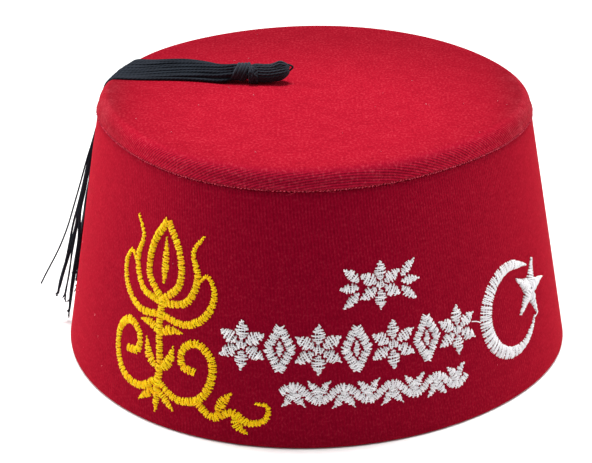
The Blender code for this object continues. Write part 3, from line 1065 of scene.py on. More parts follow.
@dataclass
class Tassel:
    """A tassel of doubled cords, bound at its neck, lying on the crown and over the rim.

    The tables' lengths are in millimetres.
    """

    form: HatForm
    cord: float = 0.00043  # a cord's radius
    neck: tuple[float, float, float] = (-0.0302, 0.0090, 0.0039)  # skirt's end, from the pole
    neck_radius: float = 0.00278  # of the cords where they are bound
    slant: float = 0.09  # how far the head comes forward, for its distance along
    stations: int = 110  # along each cord
    clear: float = 0.0004  # least distance of a cord's middle from the crown or the floor
    binding_cord: float = 0.00068
    windings: float = 4.2  # of the binding round the neck
    tip_cord: float = 0.00037
    stray_cord: float = 0.00036
    fan: tuple = (  # run, front and back edge in degrees, height of the middle, half depth
        (31.8, 169.4, 158.6, 3.9, 2.6),
        (34.9, 169.3, 156.9, 3.6, 2.3),
        (40.4, 168.4, 153.4, 3.4, 1.8),
        (45.5, 168.2, 150.7, 3, 1.4),
        (49.9, 168.4, 149.3, 2.6, 1.2),
        (54.7, 169.0, 148.8, 2.2, 1),
        (58.5, 169.6, 149.3, 1.9, 0.9),
        (62.2, 170.1, 150.3, 1.6, 0.8),
        (70, 170.6, 152.1, 0.9, 0.4),
        (77, 170.4, 152.1, 0.55, 0.15),
        (95, 170.2, 152.6, 0.4, 0.1),
    )
    strands: tuple[Strand, ...] = (
        Strand(3, 0.4, 6.0, 1.0, 1.0, (
            (78, 170.6, 0.4), (70.5, 173.2, 0.4), (61.5, 174.5, 0.9), (52.3, 174.8, 1.4),
            (44.6, 174.9, 2.2), (40, 174.9, 2), (34, 175, 1.4), (21.4, 175, 1.6),
            (11.1, 175.1, 1.9), (1.6, 175.1, 2),
        )),
        Strand(2, 0.3, 1.4, 1.0, 1.0, (
            (78, 170.5, 0.4), (70.5, 173.2, 0.6), (61.5, 174.5, 1.2), (52.3, 174.7, 1.9),
            (44.6, 174.8, 2.7), (39.9, 174.8, 2.9), (34, 174.9, 3.5), (30, 174.9, 4.2),
            (25.5, 174.9, 4.6), (19.4, 174.9, 5.6), (10.5, 175, 6.7),
        )),
        Strand(1, 0.1, 0.5, 1.0, 1.0, (
            (78, 170.4, 0.4), (70.5, 173.2, 0.8), (61.5, 174.5, 1.6), (52.3, 174.7, 2.5),
            (44.6, 174.8, 3.5), (39.9, 174.9, 4.2), (33.3, 174.9, 4.6), (25.5, 175.1, 5),
            (9.6, 175.3, 7),
        )),
        Strand(2, 0.2, 2.0, 0.8, 1.5, (
            (78, 170.2, 0.4), (70.5, 173.2, 0.6), (61.5, 174.5, 1.2), (52.3, 174.7, 1.7),
            (44.6, 174.8, 2.5), (39.9, 174.9, 2.8), (34.5, 174.9, 3.1), (27.8, 175, 3.4),
            (19.4, 175, 3.6), (8.7, 175.2, 4.3),
        )),
        Strand(5, 1.4, 3.0, 0.95, 2.0, ((78, 168.4, 0.5), (45, 169.6, 1), (12, 169.9, 1.6))),
        Strand(5, 1.8, 3.4, 0.95, 2.0, ((78, 165.4, 0.5), (45, 166.8, 1.4), (7, 167.6, 2.6))),
        Strand(6, 2.2, 2.4, 0.95, 2.2, ((78, 161.9, 0.5), (45, 162.6, 1), (15, 162.4, 1.4))),
        Strand(5, 1.6, 3.6, 0.95, 2.0, ((78, 158.4, 0.5), (45, 159.8, 1.5), (9, 160.4, 2.2))),
        Strand(6, 2.0, 2.2, 0.95, 2.2, ((78, 154.8, 0.5), (45, 155.8, 1), (18, 155.2, 1.6))),
    )
    stray: tuple = (  # the one thin strand that strays from the rest, as a strand's points
        (74.5, 172.2, 0.6), (70.3, 173.4, 1.1), (66.7, 174.2, 1.7),
        (55.5, 174.8, 3.3), (46.4, 175.0, 4.7), (37.6, 175.1, 6.1),
        (29.3, 175.3, 8.1), (15.5, 175.6, 12.8), (12.7, 175.6, 13.7),
    )
    head: tuple = (  # distance along the axis, radius, and how far the middle is raised
        (8, 2.4, 0), (9.2, 2.85, -0.1), (12.5, 3, -0.3),
        (14.7, 3.02, -0.2), (16.9, 3.02, 0.2), (18.7, 3, 0.6),
        (19.9, 2.58, 0.9), (21, 1.8, 1.2), (21.7, 0.85, 1.4),
    )
    spool: tuple = (  # the same for the bulk under the binding, from the neck's radius
        (1.4, 0, 0), (6, 0.2, 0), (10.8, 0.2, 0),
    )
    tip: tuple = (  # the tip loop's distance along the axis and height above it
        (19.6, 2.8), (20.8, 3.1), (21.8, 3.1), (23, 2.4),
        (22.6, 1.6), (21.4, 0.6), (20.4, 0),
    )

    def axis_point(
        self, along: np.ndarray, angle: np.ndarray, radius: np.ndarray, rise: np.ndarray = 0.0
    ) -> np.ndarray:
        """Points about the tassel's own level axis.

        Args:
            along: Distance from the skirt's end towards the tip, along +X.
            angle: Angle from the front (-Y) towards up.
            radius: Distance from the axis.
            rise: How far the axis is raised there.

        Returns:
            Points, in the arguments' common shape by 3.
        """
        along, angle, radius, rise = np.broadcast_arrays(along, angle, radius, rise)
        pole = self.form.pole
        x = pole[0] + self.neck[0] + along
        y = pole[1] + self.neck[1] - self.slant * along - radius * np.cos(angle)
        z = self.form.height + self.neck[2] + radius * np.sin(angle)
        return np.stack([x, y, z + rise], axis=-1)

    def cord_paths(self) -> tuple[np.ndarray, np.ndarray]:
        """The cords from under the binding to their free ends.

        At the neck they fill a disc, sunflower fashion. Along the skirt a cord keeps its
        share of the width and of the depth, and the shares ease from the disc's to one flat
        even row at the rim. The front edge sinks on to the crown, by the share's square,
        and already sits low in the neck. Below, each cord follows its strand's line.

        Returns:
            Paths and radii, cords by stations.
        """
        draw = np.random.default_rng(5)
        count = sum(strand.cords for strand in self.strands)
        order = np.arange(count)
        disc = np.sqrt((order + 0.5) / count)
        angle = order * np.pi * (3.0 - math.sqrt(5.0))
        rank = np.argsort(-disc * np.cos(angle))  # the front edge first
        disc, angle = disc[rank, None], angle[rank, None]
        width, depth = disc * np.cos(angle), disc * np.sin(angle)
        even = 1.0 - 2.0 * (order[:, None] + 0.5) / count

        rows = np.array(self.fan) * [MM, 1.0, 1.0, MM, MM]
        bound, rim = rows[0, 0], self.form.rim_run
        run = np.append(np.linspace(bound, rim, 34), [rim + 0.004, rim + 0.009])
        front, back, middle, half_depth = through(rows[:, 0], rows[:, 1:], run).T
        flatten = ramp(run, 0.0315, 0.0665) ** 1.1
        wave = draw.normal(0.0, 1.0, (count, 3))
        share = width * (1.0 - flatten) + even * flatten
        share += 0.02 * wave[:, :1] * np.sin(np.pi * (run - bound) / 0.05 + wave[:, 1:2])
        turn = (front + back) / 2.0 + share * (front - back) / 2.0
        sunk = np.clip(share, 0.0, 1.0) ** 2 * (0.52 + 0.18 * ramp(run, bound, bound + 0.006))
        lift = middle * (1.0 - sunk) + depth * (1.0 - 0.2 * flatten) * half_depth
        lift += 0.00006 * wave[:, 2:3]
        lift[:, 3:] = np.maximum(lift[:, 3:], self.clear)
        lying = self.form.place(np.radians(turn), run, lift)

        low = 0.78 * np.clip(width, 0.0, 1.0) ** 2
        angle = np.arctan2(depth, width) - low
        neck = self.axis_point(np.linspace(0.0060, 0.0004, 6), angle, disc * self.neck_radius)
        hanging = np.concatenate([self.hang(strand, draw) for strand in self.strands])
        whole = np.concatenate([neck, lying, hanging], axis=1)
        paths = np.array([stepped(path, self.stations) for path in whole])
        for _ in range(3):  # smoothed by a 1-2-1 average
            paths[:, 1:-1] = (paths[:, :-2] + 2.0 * paths[:, 1:-1] + paths[:, 2:]) / 4.0

        way = np.linspace(0.0, 1.0, self.stations)
        thin = np.repeat([s.thin for s in self.strands], [s.cords for s in self.strands])
        on_crown = ramp(way, 0.40, 0.34)
        radii = self.cord * draw.uniform(0.94, 1.08, (count, 1)) * (1.0 + 0.14 * on_crown)
        radii *= 1.0 + (thin[:, None] - 1.0) * ramp(way, 0.4, 0.4 + 1.0 / 3.0)
        radii[:7] *= 1.0 + 0.20 * on_crown  # the front cords have swelled most
        radii[:, -2:] *= [0.8, 0.4]
        return paths, radii

    def hang(self, strand: Strand, draw: np.random.Generator) -> np.ndarray:
        """A strand's cords from the rim to their ends.

        Each cord lies at its own distance from the strand's line, which grows with the root
        of the way down, and sways about it as a sine that grows with the way down.

        Args:
            strand: The strand.
            draw: The random numbers.

        Returns:
            Paths, cords by points by 3.
        """
        cords, points = strand.cords, np.array(strand.points)
        number = np.arange(cords)[:, None]
        first, last = points[[0, -1], 0] * MM
        down = np.linspace(0.0, 1.0, 30)
        spot = draw.uniform(-1.0, 1.0, (cords, 2)) * strand.spread * [1.0, 0.6]
        spot += (number - (cords - 1) / 2.0) * [0.25, 0.30]
        spot *= MM
        end = last + number * strand.ragged * MM * draw.uniform(0.4, 1.0, (cords, 1))
        height = first + (end - first) * down
        turn, lift = self.line_down(points, height)
        sway = np.sin(down * draw.uniform(5.0, 11.0, (cords, 1)) * strand.sway + 6.0 * number)
        sway *= 0.00022 * strand.sway * down
        turn += (spot[:, :1] * down**0.5 + sway) / self.form.mean_radius
        lift = np.maximum(lift + spot[:, 1:] * down**0.5 + 0.8 * sway, 0.00035)
        return self.form.place(turn, self.form.wall_run(height), lift)

    @staticmethod
    def line_down(points: np.ndarray, height: np.ndarray) -> tuple[np.ndarray, np.ndarray]:
        """Turns in radians and distances from the wall at heights of a strand's line."""
        turn, lift = np.moveaxis(through(-points[:, 0] * MM, points[:, 1:], -height), -1, 0)
        return np.radians(turn), lift * MM

    def head_paths(self) -> tuple[np.ndarray, np.ndarray]:
        """The head's cords: loops that run out along the bulb, turn at its end, and run back.

        Two loops on its top stand up before they turn.

        Returns:
            Paths and radii, loops by stations.
        """
        draw = np.random.default_rng(8)
        loops = 10
        step = np.linspace(0.0, 1.0, 61)
        out = 1.0 - np.abs(2.0 * step - 1.0)  # 0 at the neck, 1 at the loop's turn
        gap = np.pi / loops
        middle = np.arange(loops)[:, None] * 2.0 * gap + draw.normal(0.0, 0.03, (loops, 1))
        angle = middle + gap * 0.5 * np.tanh((step - 0.5) * 30.0)
        table = np.array(self.head) * MM
        first, last = table[[0, -1], 0]
        length = (last - first) * draw.uniform(0.965, 1.0, (loops, 1))
        along = first + length * np.sin(out * np.pi / 2.0) ** 1.05
        read = through(table[:, 0], table[:, 1:], along)
        standing = np.zeros((loops, 1))
        standing[2:4] = [[0.30], [0.18]]
        hump = np.exp(-(((along - 18.1 * MM) / (1.9 * MM)) ** 2))
        shape = draw.uniform(0.98, 1.03, (loops, 1)) + standing * hump
        points = self.axis_point(along, angle, read[..., 0] * shape, read[..., 1])
        return points, np.full(points.shape[:2], self.cord)

    def core(self, table: np.ndarray, inset: float) -> Sheet:
        """The bulk under a layer of cords: a closed spindle about the tassel's axis.

        Args:
            table: Rows of (distance along, radius, rise).
            inset: How far the spindle stays inside the table's radii.

        Returns:
            The spindle.
        """
        sides, rings = 24, 18
        turn = all_round(sides)
        along = np.linspace(table[0, 0], table[-1, 0], rings)
        read = through(table[:, 0], table[:, 1:], along)
        radius = np.maximum(read[:, :1] - inset, 0.0003)
        points = self.axis_point(along[:, None], turn, radius, read[:, 1:])
        uv = paired(turn, along[:, None])
        sheet = grid(points[:, ::-1], np.concatenate([uv, uv[:, :1]], axis=1), wrap_columns=True)
        ring, flat = np.arange(sides), np.zeros((sides + 1, 2))
        close_ring(sheet, ring, points[0].mean(0), flat)
        close_ring(sheet, ((rings - 1) * sides + ring)[::-1], points[-1].mean(0), flat)
        return sheet

    def tip_loop(self) -> Sheet:
        """The small pointed loop of one thin cord at the head's end.

        It lies in the upright plane through the axis: out along its upper side, round a
        point, and back into the head lower down.

        Returns:
            The loop.
        """
        table = np.array(self.tip) * MM
        along, rise = through(np.arange(len(table)), table, np.linspace(0, len(table) - 1, 37)).T
        return one_tube(self.axis_point(along, 0.0, 0.0, rise), self.tip_cord, 7, 5)

    def binding(self) -> Sheet:
        """The cord wound close round the neck, a slanted helix of a slightly uneven radius.

        Returns:
            The cord.
        """
        step = np.linspace(0.0, 1.0, 260)
        angle = FULL_TURN * self.windings * step - 1.2
        along = 0.0014 + 0.0050 * step + 0.0014 * np.sin(angle)
        uneven = 0.00008 * np.sin(angle * 0.43) + 0.00013 * np.sin(angle * 1.9 + 0.4)
        helix = self.axis_point(along, angle, self.neck_radius + uneven)
        return one_tube(helix, self.binding_cord, 12, 7)

    def knot_paths(self) -> tuple[np.ndarray, np.ndarray]:
        """The matted knot at the head's foot: short loops that wander over its lower side.

        Each wanders as a sum of two slow waves in the distance along, round and out.

        Returns:
            Paths and radii, loops by stations.
        """
        draw = np.random.default_rng(14)
        count = 28
        step = np.linspace(0.0, 1.0, 26)
        phase = draw.uniform(0.0, FULL_TURN, (3, count, 1))
        rate = draw.uniform(4.0, 9.0, (3, count, 1))
        wave = np.sin(rate * step + phase) + 0.5 * np.sin(1.9 * rate * step + 2.0 * phase)
        angle = -0.45 + 0.62 * wave[1] + draw.normal(0.0, 0.25, (count, 1))
        radii = np.repeat(draw.uniform(0.00018, 0.00036, (count, 1)), 26, axis=1)
        paths = self.axis_point(0.0084 + 0.0011 * wave[0], angle, 0.00372 + 0.00030 * wave[2])
        paths[..., 2] = np.maximum(paths[..., 2], self.form.height + self.clear)
        return paths, radii

    def stray_strand(self) -> Sheet:
        """The one thin strand that strays from the rest.

        Returns:
            The strand.
        """
        points = np.array(self.stray)
        height = np.linspace(points[0, 0], points[-1, 0], 40) * MM
        turn, lift = self.line_down(points, height)
        path = self.form.place(turn, self.form.wall_run(height), lift)
        return one_tube(path, self.stray_cord, 6, 6)

    def frayed(self, paths: np.ndarray) -> tuple[np.ndarray, np.ndarray]:
        """Short filaments that spread from each cord's end and hook, by the step's cube.

        Args:
            paths: The cords' paths.

        Returns:
            Paths and radii, one row for each filament.
        """
        draw = np.random.default_rng(17)
        each = 2
        end = np.repeat(paths[:, -1], each, axis=0)
        heading = unit(end - np.repeat(paths[:, -4], each, axis=0))
        spread = draw.normal(0.0, 0.22, heading.shape)
        hook = draw.normal(0.0, 0.40, heading.shape)
        length = draw.uniform(0.0007, 0.0020, (len(end), 1, 1))
        step = np.linspace(-0.35, 1.0, 8)[:, None]
        past = np.clip(step, 0.0, 1.0)
        way = heading[:, None] * step + spread[:, None] * past + hook[:, None] * past**3
        out = end[:, None] + length * way
        out[..., 2] = np.maximum(out[..., 2], self.clear)
        return out, np.broadcast_to(np.linspace(0.00036, 0.00024, 8), out.shape[:2])

    def build(self, yarn: Material, matted: Material) -> None:
        """Make the tassel's pieces: cords, head, stray strand and binding.

        Args:
            yarn: The finish of the smooth hanging cords.
            matted: The finish of the cords at the head, roughened by handling and painted lighter.
        """
        paths, radii = self.cord_paths()
        cords = [tubes(paths, radii, 8, 1), tubes(*self.frayed(paths), 5, 2)]
        core = self.core(np.array(self.head[:-1]) * MM, 0.00010)
        head = [tubes(*self.head_paths(), 8, 4), self.tip_loop(), core]
        spool = self.core(np.array(self.spool) * MM + [0.0, self.neck_radius, 0.0], 0.00020)
        binding = [self.binding(), tubes(*self.knot_paths(), 6, 9), spool]
        add_piece("tassel_cords", cords, [yarn], ("tassel",))
        # The head and binding take the cord finish painted lighter, as painted light.
        add_piece("tassel_head", head, [matted])
        add_piece("stray_strand", [self.stray_strand()], [yarn])
        add_piece("neck_binding", binding, [matted], ("tassel_binding",))


# ---- Embroidery ----------------------------------------------------------------------


class Taper(Enum):
    """How a satin line's width changes along it."""

    EVEN = "even"
    LEAF = "leaf"
    END = "end"


@dataclass(frozen=True)
class SatinLine:
    """A line of satin stitch through points (across, up), in millimetres on the wall."""

    points: tuple[tuple[float, float], ...]
    width: float
    taper: Taper = Taper.EVEN
    layer: int = 0  # lines of a higher layer are sewn over the lower ones


@dataclass
class SatinStitcher:
    """Sews satin stitch: a thread that zigzags across a shape over a padding."""

    form: HatForm
    seed: int
    pitch: float = 0.56  # mm from one thread to the next
    thread: float = 0.00026  # a thread's radius
    bunching: float = 0.42  # how far threads crowd together, in steps from thread to thread
    slant: float = 0.38  # how far a thread leans at each end, in the same steps

    def outline(self, sewn: SatinLine) -> tuple[np.ndarray, np.ndarray]:
        """The two edges of a line, a point for each thread.

        The line is a smooth curve through its points. The edges stand half its width to
        either side of it, along its normal.

        Args:
            sewn: The line.

        Returns:
            The left and the right edge, in millimetres.
        """
        points = np.array(sewn.points, float)
        reach = distances(points)
        fine = through(reach, points, np.linspace(0.0, reach[-1], 400))
        count = max(int(distances(fine)[-1] / self.pitch), 3)
        middle = stepped(fine, count)
        heading = unit(np.gradient(middle, axis=0))
        normal = np.stack([-heading[:, 1], heading[:, 0]], 1)
        share = np.linspace(0.0, 1.0, count)
        widths = {
            Taper.EVEN: np.ones_like(share),
            Taper.LEAF: 0.12 + 0.88 * np.sin(np.pi * share**0.85),
            Taper.END: np.interp(share, [0.0, 0.6, 1.0], [1.0, 0.9, 0.25]),
        }
        half = normal * (widths[sewn.taper] * sewn.width / 2.0)[:, None]
        return middle + half, middle - half

    def sew(
        self, left: np.ndarray, right: np.ndarray, layer: int = 0, seed: int = 0
    ) -> list[Sheet]:
        """Threads from edge to edge, each an arch that dives into the cloth at its ends.

        A thread's lift is its arch's height times (sin of pi times the share across) to the
        power 0.6. Each thread leans the other way from the one before, so that they meet in
        pairs at the edges. A sine whose phase grows by a random step from thread to thread
        pushes them into bunches of two or three, with a dark gap between.

        Args:
            left: One edge, in millimetres.
            right: The other edge.
            layer: How many layers of stitches lie beneath.
            seed: Seed of the unevenness.

        Returns:
            The threads and their padding.
        """
        draw = np.random.default_rng(self.seed + seed)
        each = (len(left), 1)
        across = right - left
        width = np.linalg.norm(across, axis=1, keepdims=True)
        heading = across / np.maximum(width, 1e-6)
        lean = np.where(np.arange(len(left)) % 2, -self.slant, self.slant)[:, None]
        off = self.bunching * np.sin(draw.uniform(1.1, 2.7, each).cumsum(0))
        off += draw.normal(0.0, 0.12, each)
        start = left + np.gradient(left, axis=0) * (off + lean)
        end = right + np.gradient(right, axis=0) * (off - lean)
        start -= heading * draw.uniform(-0.14, 0.18, each)
        end += heading * draw.uniform(-0.14, 0.18, each)
        share = np.linspace(0.0, 1.0, 9)
        top = 0.28 + 0.09 * np.clip(width, 0.0, 4.0) + 0.22 * layer
        root = 0.15  # mm that a thread's ends are under the cloth
        arch = (top * draw.uniform(0.82, 1.15, each) + root) * np.sin(np.pi * share) ** 0.6
        flat = start[:, None] + (end - start)[:, None] * share[:, None]
        paths = self.form.on_wall(flat, (arch - root) * MM)
        radii = np.broadcast_to(self.thread * draw.uniform(0.85, 1.12, each), paths.shape[:2])
        under = left + across * np.array([0.27, 0.5, 0.73])[:, None, None]
        low = np.broadcast_to(0.30 * top[:, 0] * MM, under.shape[:2])
        thick = np.broadcast_to(np.clip(0.10 * width[:, 0], 0.02, 0.20) * MM, low.shape)
        pads = self.form.on_wall(under, low)
        return [tubes(paths, radii, 5, seed), tubes(pads, thick, 5, seed)]

    def sew_lines(self, lines: list[SatinLine]) -> list[Sheet]:
        """The threads of many lines, each with its number as its seed."""
        sewn = [self.sew(*self.outline(s), s.layer, n) for n, s in enumerate(lines)]
        return [sheet for sheets in sewn for sheet in sheets]


@dataclass
class Embroidery:
    """The front's embroidery: a gold leaf scroll, white garlands, a crescent and a star."""

    form: HatForm
    crescent_middle: tuple[float, float] = (82.2, 31.6)  # mm
    crescent_reach: float = 17.5  # its outer circle's radius
    crescent_tips: tuple[float, float] = (42.0, 333.0)  # degrees
    star_middle: tuple[float, float] = (96.5, 34.7)
    star_reach: float = 11.0
    star_turns: tuple[float, ...] = (66.0, 2.0, -72.0, -142.0, 144.0)
    scroll_foot: tuple[float, float] = (-57.0, 10.0)
    scroll: tuple = (  # each side's layer, width, taper, points; a second side is mirrored
        ((1,), 3.1, Taper.EVEN, ((0, 2), (0.7, 12), (-0.6, 24), (0, 36))),
        ((0,), 3.4, Taper.LEAF, ((0, 41), (0.3, 49), (0, 57))),
        ((0, 1), 2.9, Taper.EVEN, ((0, 35), (7.2, 42), (6.6, 53), (0.3, 63))),
        ((0, 0), 2.8, Taper.END, ((0.8, 34), (10.5, 36.5), (14.8, 46), (12.6, 55), (16.5, 61))),
        ((0, 0), 2.7, Taper.END,
         ((1, 29.5), (11.5, 28.8), (19.5, 34.5), (21.5, 43), (18.5, 47.5), (15, 44))),
        ((0, 0), 2.8, Taper.EVEN,
         ((0, 6), (8.5, 1.2), (17, 3), (21.6, 10.5), (21, 19), (15.5, 23), (10, 19.5),
          (10.6, 13.6), (15.4, 12.6))),
        ((0, 0), 4.0, Taper.LEAF, ((0.5, 10), (4.4, 13.5), (6.2, 19.5))),
        ((0, 0), 3.4, Taper.LEAF, ((0, 22.5), (4, 25.2), (9.5, 25.4))),
        ((0, 0), 3.2, Taper.LEAF, ((0, 3), (3.8, 0), (7.6, -3.4))),
        ((0,), 3.0, Taper.LEAF, ((0, 3), (0, -1.5), (0, -5.5))),
        ((0,), 2.8, Taper.END,
         ((16, 2.6), (22.5, -2), (29.5, 0.8), (35.5, -2.4), (41, -0.4), (41.5, 4.4), (37.5, 5))),
        ((0,), 3.2, Taper.LEAF, ((24, -0.6), (26, 4), (29, 7.6))),
        ((0,), 3.2, Taper.LEAF, ((30, 0), (31.5, -3.6), (35, -6.2))),
    )

    def crescent(self) -> list[Sheet]:
        """Threads across the crescent, from its outer circle inwards.

        The width is 3.8 mm less 2.5 mm times the cosine of the angle, as between two
        circles, and within 20 degrees of a tip it narrows to nothing. The upper tip lies
        0.8 mm outside the circle, which it leaves by the square of the way to the tip.

        Returns:
            The threads and their padding.
        """
        stitcher = SatinStitcher(self.form, 31, pitch=0.57)
        first, last = self.crescent_tips
        count = int(np.radians(last - first) * (self.crescent_reach - 2.0) / stitcher.pitch)
        turn = np.linspace(first, last, count)[:, None]
        angle = np.radians(turn)
        out = np.concatenate([np.cos(angle), np.sin(angle)], 1)
        tip = ramp(np.minimum(turn - first, last - turn), -0.4, 19.6) ** 0.7
        flare = 0.8 * ramp(turn, first + 26.0, first) ** 2
        outer = self.crescent_middle + (self.crescent_reach + flare) * out
        width = (3.8 - 2.5 * np.cos(angle)) * tip
        return stitcher.sew(outer, outer - width * out, seed=1)

    def star_rays(self) -> list[Sheet]:
        """Threads across each of the star's five rays, narrowing to its point.

        Returns:
            The threads and their padding.
        """
        stitcher = SatinStitcher(self.form, 41, pitch=0.54, bunching=0.3)
        sheets = []
        for ray, turn in enumerate(self.star_turns):
            angle = math.radians(turn)
            heading = np.array([math.cos(angle), math.sin(angle)])
            side = np.array([-heading[1], heading[0]])
            at = np.arange(0.6, self.star_reach, stitcher.pitch)[:, None]
            half = np.interp(at / self.star_reach, [0.0, 0.34, 0.6, 1.0], [1.4, 2.5, 1.4, 0.12])
            middle = self.star_middle + heading * at
            sheets += stitcher.sew(middle + side * half, middle - side * half, ray % 2, ray)
        return sheets

    def gold_lines(self) -> list[SatinLine]:
        """A tulip on a stem between two scrolled tendrils, with a vine to its right.

        Returns:
            The lines.
        """
        x, y = self.scroll_foot
        return [
            SatinLine(tuple((x + side * a, y + b) for a, b in points), width, taper, layer)
            for layers, width, taper, points in self.scroll
            for side, layer in zip((1, -1), layers)
        ]

    @staticmethod
    def rosette(x: float, y: float, reach: float) -> list[SatinLine]:
        """Six petals round a small filled disc.

        Args:
            x: Its middle across, in millimetres.
            y: Its middle upwards.
            reach: From its middle to a petal's tip.

        Returns:
            The lines.
        """
        lines = []
        for petal in range(6):
            angle = math.radians(90.0 + 60.0 * petal)
            reaches = (0.24 * reach, 0.6 * reach, reach)
            points = tuple((x + r * math.cos(angle), y + r * math.sin(angle)) for r in reaches)
            lines.append(SatinLine(points, 0.52 * reach, Taper.LEAF))
        half = 0.2 * reach
        disc = ((x - half, y), (x, y), (x + half, y))
        return [*lines, SatinLine(disc, 2.1 * half, Taper.LEAF, 1)]

    @staticmethod
    def lozenge(x: float, y: float, wide: float, tall: float) -> list[SatinLine]:
        """A diamond of four bars round a small filled one.

        Args:
            x: Its middle across, in millimetres.
            y: Its middle upwards.
            wide: Half its width.
            tall: Half its height.

        Returns:
            The lines.
        """
        tips = [(x - wide, y), (x, y + tall), (x + wide, y), (x, y - tall)]
        lines = [
            SatinLine((a, ((a[0] + b[0]) / 2, (a[1] + b[1]) / 2), b), 2.9, layer=number % 2)
            for number, (a, b) in enumerate(zip(tips, tips[1:] + tips[:1]))
        ]
        fill = ((x, y - 0.34 * tall), (x, y), (x, y + 0.34 * tall))
        return [*lines, SatinLine(fill, 2.2, Taper.LEAF)]

    def garland(self) -> list[SatinLine]:
        """A wavy stem along the base, with a pair of leaves in each of its bends.

        Returns:
            The lines.
        """
        left, low, fall, wave = -11.0, 19.6, 0.050, 16.75  # mm; its start, sink and wavelength
        across = np.linspace(left, 56.0, 27)
        up = low - fall * (across - left) + 2.6 * np.sin((across - left) * FULL_TURN / wave)
        lines = [SatinLine(tuple(zip(across.tolist(), up.tolist())), 2.7)]
        for number in range(8):
            sign = 1.0 if number % 2 else -1.0
            x = left + 4.19 + number * wave / 2.0
            y = low - fall * (x - left) - sign * 1.2
            for lean in (-2.8, 2.8):
                middle, tip = (x + lean * 0.5, y + sign * 3.2), (x + lean * 1.25, y + sign * 5.6)
                lines.append(SatinLine(((x, y), middle, tip), 3.0, Taper.LEAF))
        return lines

    def white_lines(self) -> list[SatinLine]:
        """Three rows: a small rosette between leaves, a frieze, and a wavy leaf garland.

        Returns:
            The lines.
        """
        x, y, reach = 23.6, 55.6, 8.2
        lines = self.rosette(x, y, reach)
        for sign in (-1.0, 1.0):
            for rise, length in ((3.9, 5.0), (0.0, 6.4), (-3.9, 5.0)):
                root = x + sign * reach
                middle = (root + sign * length * 0.5, y + rise * 1.2)
                tip = (root + sign * length, y + rise * 1.7)
                lines.append(SatinLine(((root, y + rise * 0.5), middle, tip), 3.3, Taper.LEAF))
        for number in range(7):
            x = -24.8 + 13.1 * number
            y = 35.6 - 0.030 * (x + 24.8)
            lines += self.lozenge(x, y, 4.1, 7.6) if number % 2 else self.rosette(x, y, 8.6)
        return lines + self.garland()

    def loose_threads(self) -> Sheet:
        """Two short threads that were carried on to the next motif without being cut.

        Returns:
            The threads.
        """
        share = np.linspace(0.0, 1.0, 12)
        ends = np.array([((60.6, 34.2), (65.0, 32.7)), ((100.2, 24.6), (97.4, 23.4))])
        flat = ends[:, :1] + (ends[:, 1:] - ends[:, :1]) * share[:, None]
        flat[..., 1] += 0.25 * np.sin(4.0 * share)
        lift = (0.1 + 0.6 * np.sin(np.pi * share)) * MM
        return tubes(self.form.on_wall(flat, lift), np.full((2, 12), 0.00019), 5, 9)

    def build(self, white: Material, gold: Material) -> None:
        """Sew every motif.

        Args:
            white: The white thread's finish.
            gold: The gold thread's finish.
        """
        scroll = SatinStitcher(self.form, 51).sew_lines(self.gold_lines())
        garlands = SatinStitcher(self.form, 61).sew_lines(self.white_lines())
        add_piece("crescent_stitches", self.crescent(), [white])
        add_piece("star_stitches", self.star_rays(), [white])
        add_piece("gold_scroll_stitches", scroll, [gold])
        add_piece("white_garland_stitches", [*garlands, self.loose_threads()], [white])


# ---- Lint ----------------------------------------------------------------------------


@dataclass
class Lint:
    """Stray fibres and specks that cling to the pile."""

    form: HatForm
    on_crown: int = 24
    on_wall: int = 18
    crown_reach: float = 0.078
    wall_runs: tuple[float, float] = (0.092, 0.170)

    def build(self, fibre: Material) -> None:
        """Scatter curved fibres over the crown and the wall.

        A fibre is an arc that starts along a random heading on the cloth and bends by up to
        a right angle along its length.

        Args:
            fibre: The fibres' finish.
        """
        draw = np.random.default_rng(77)
        count = self.on_crown + self.on_wall
        each = (count, 1)
        face = self.crown_reach * np.sqrt(draw.uniform(0.0, 1.0, each))
        wall = draw.uniform(*self.wall_runs, each)
        run = np.where(np.arange(count)[:, None] < self.on_crown, face, wall)
        turn = draw.uniform(-np.pi, np.pi, each)
        length = draw.gamma(1.5, 0.00035, each) + 0.0003
        heading = draw.uniform(0.0, FULL_TURN, each)
        step = np.linspace(-0.5, 0.5, 6)
        angle = heading + draw.uniform(-1.6, 1.6, each) * step
        down = np.abs(run + length * step * np.cos(angle))
        side = turn + length * step * np.sin(angle) / np.maximum(run, 0.02)
        paths = self.form.place(side, down, 0.00008 + 0.0001 * np.abs(np.sin(3.0 * step + heading)))
        radii = np.broadcast_to(draw.uniform(0.00005, 0.00009, each), paths.shape[:2])
        add_piece("lint_fibres", [tubes(paths, radii, 4, 8)], [fibre])


# ---- Studio --------------------------------------------------------------------------


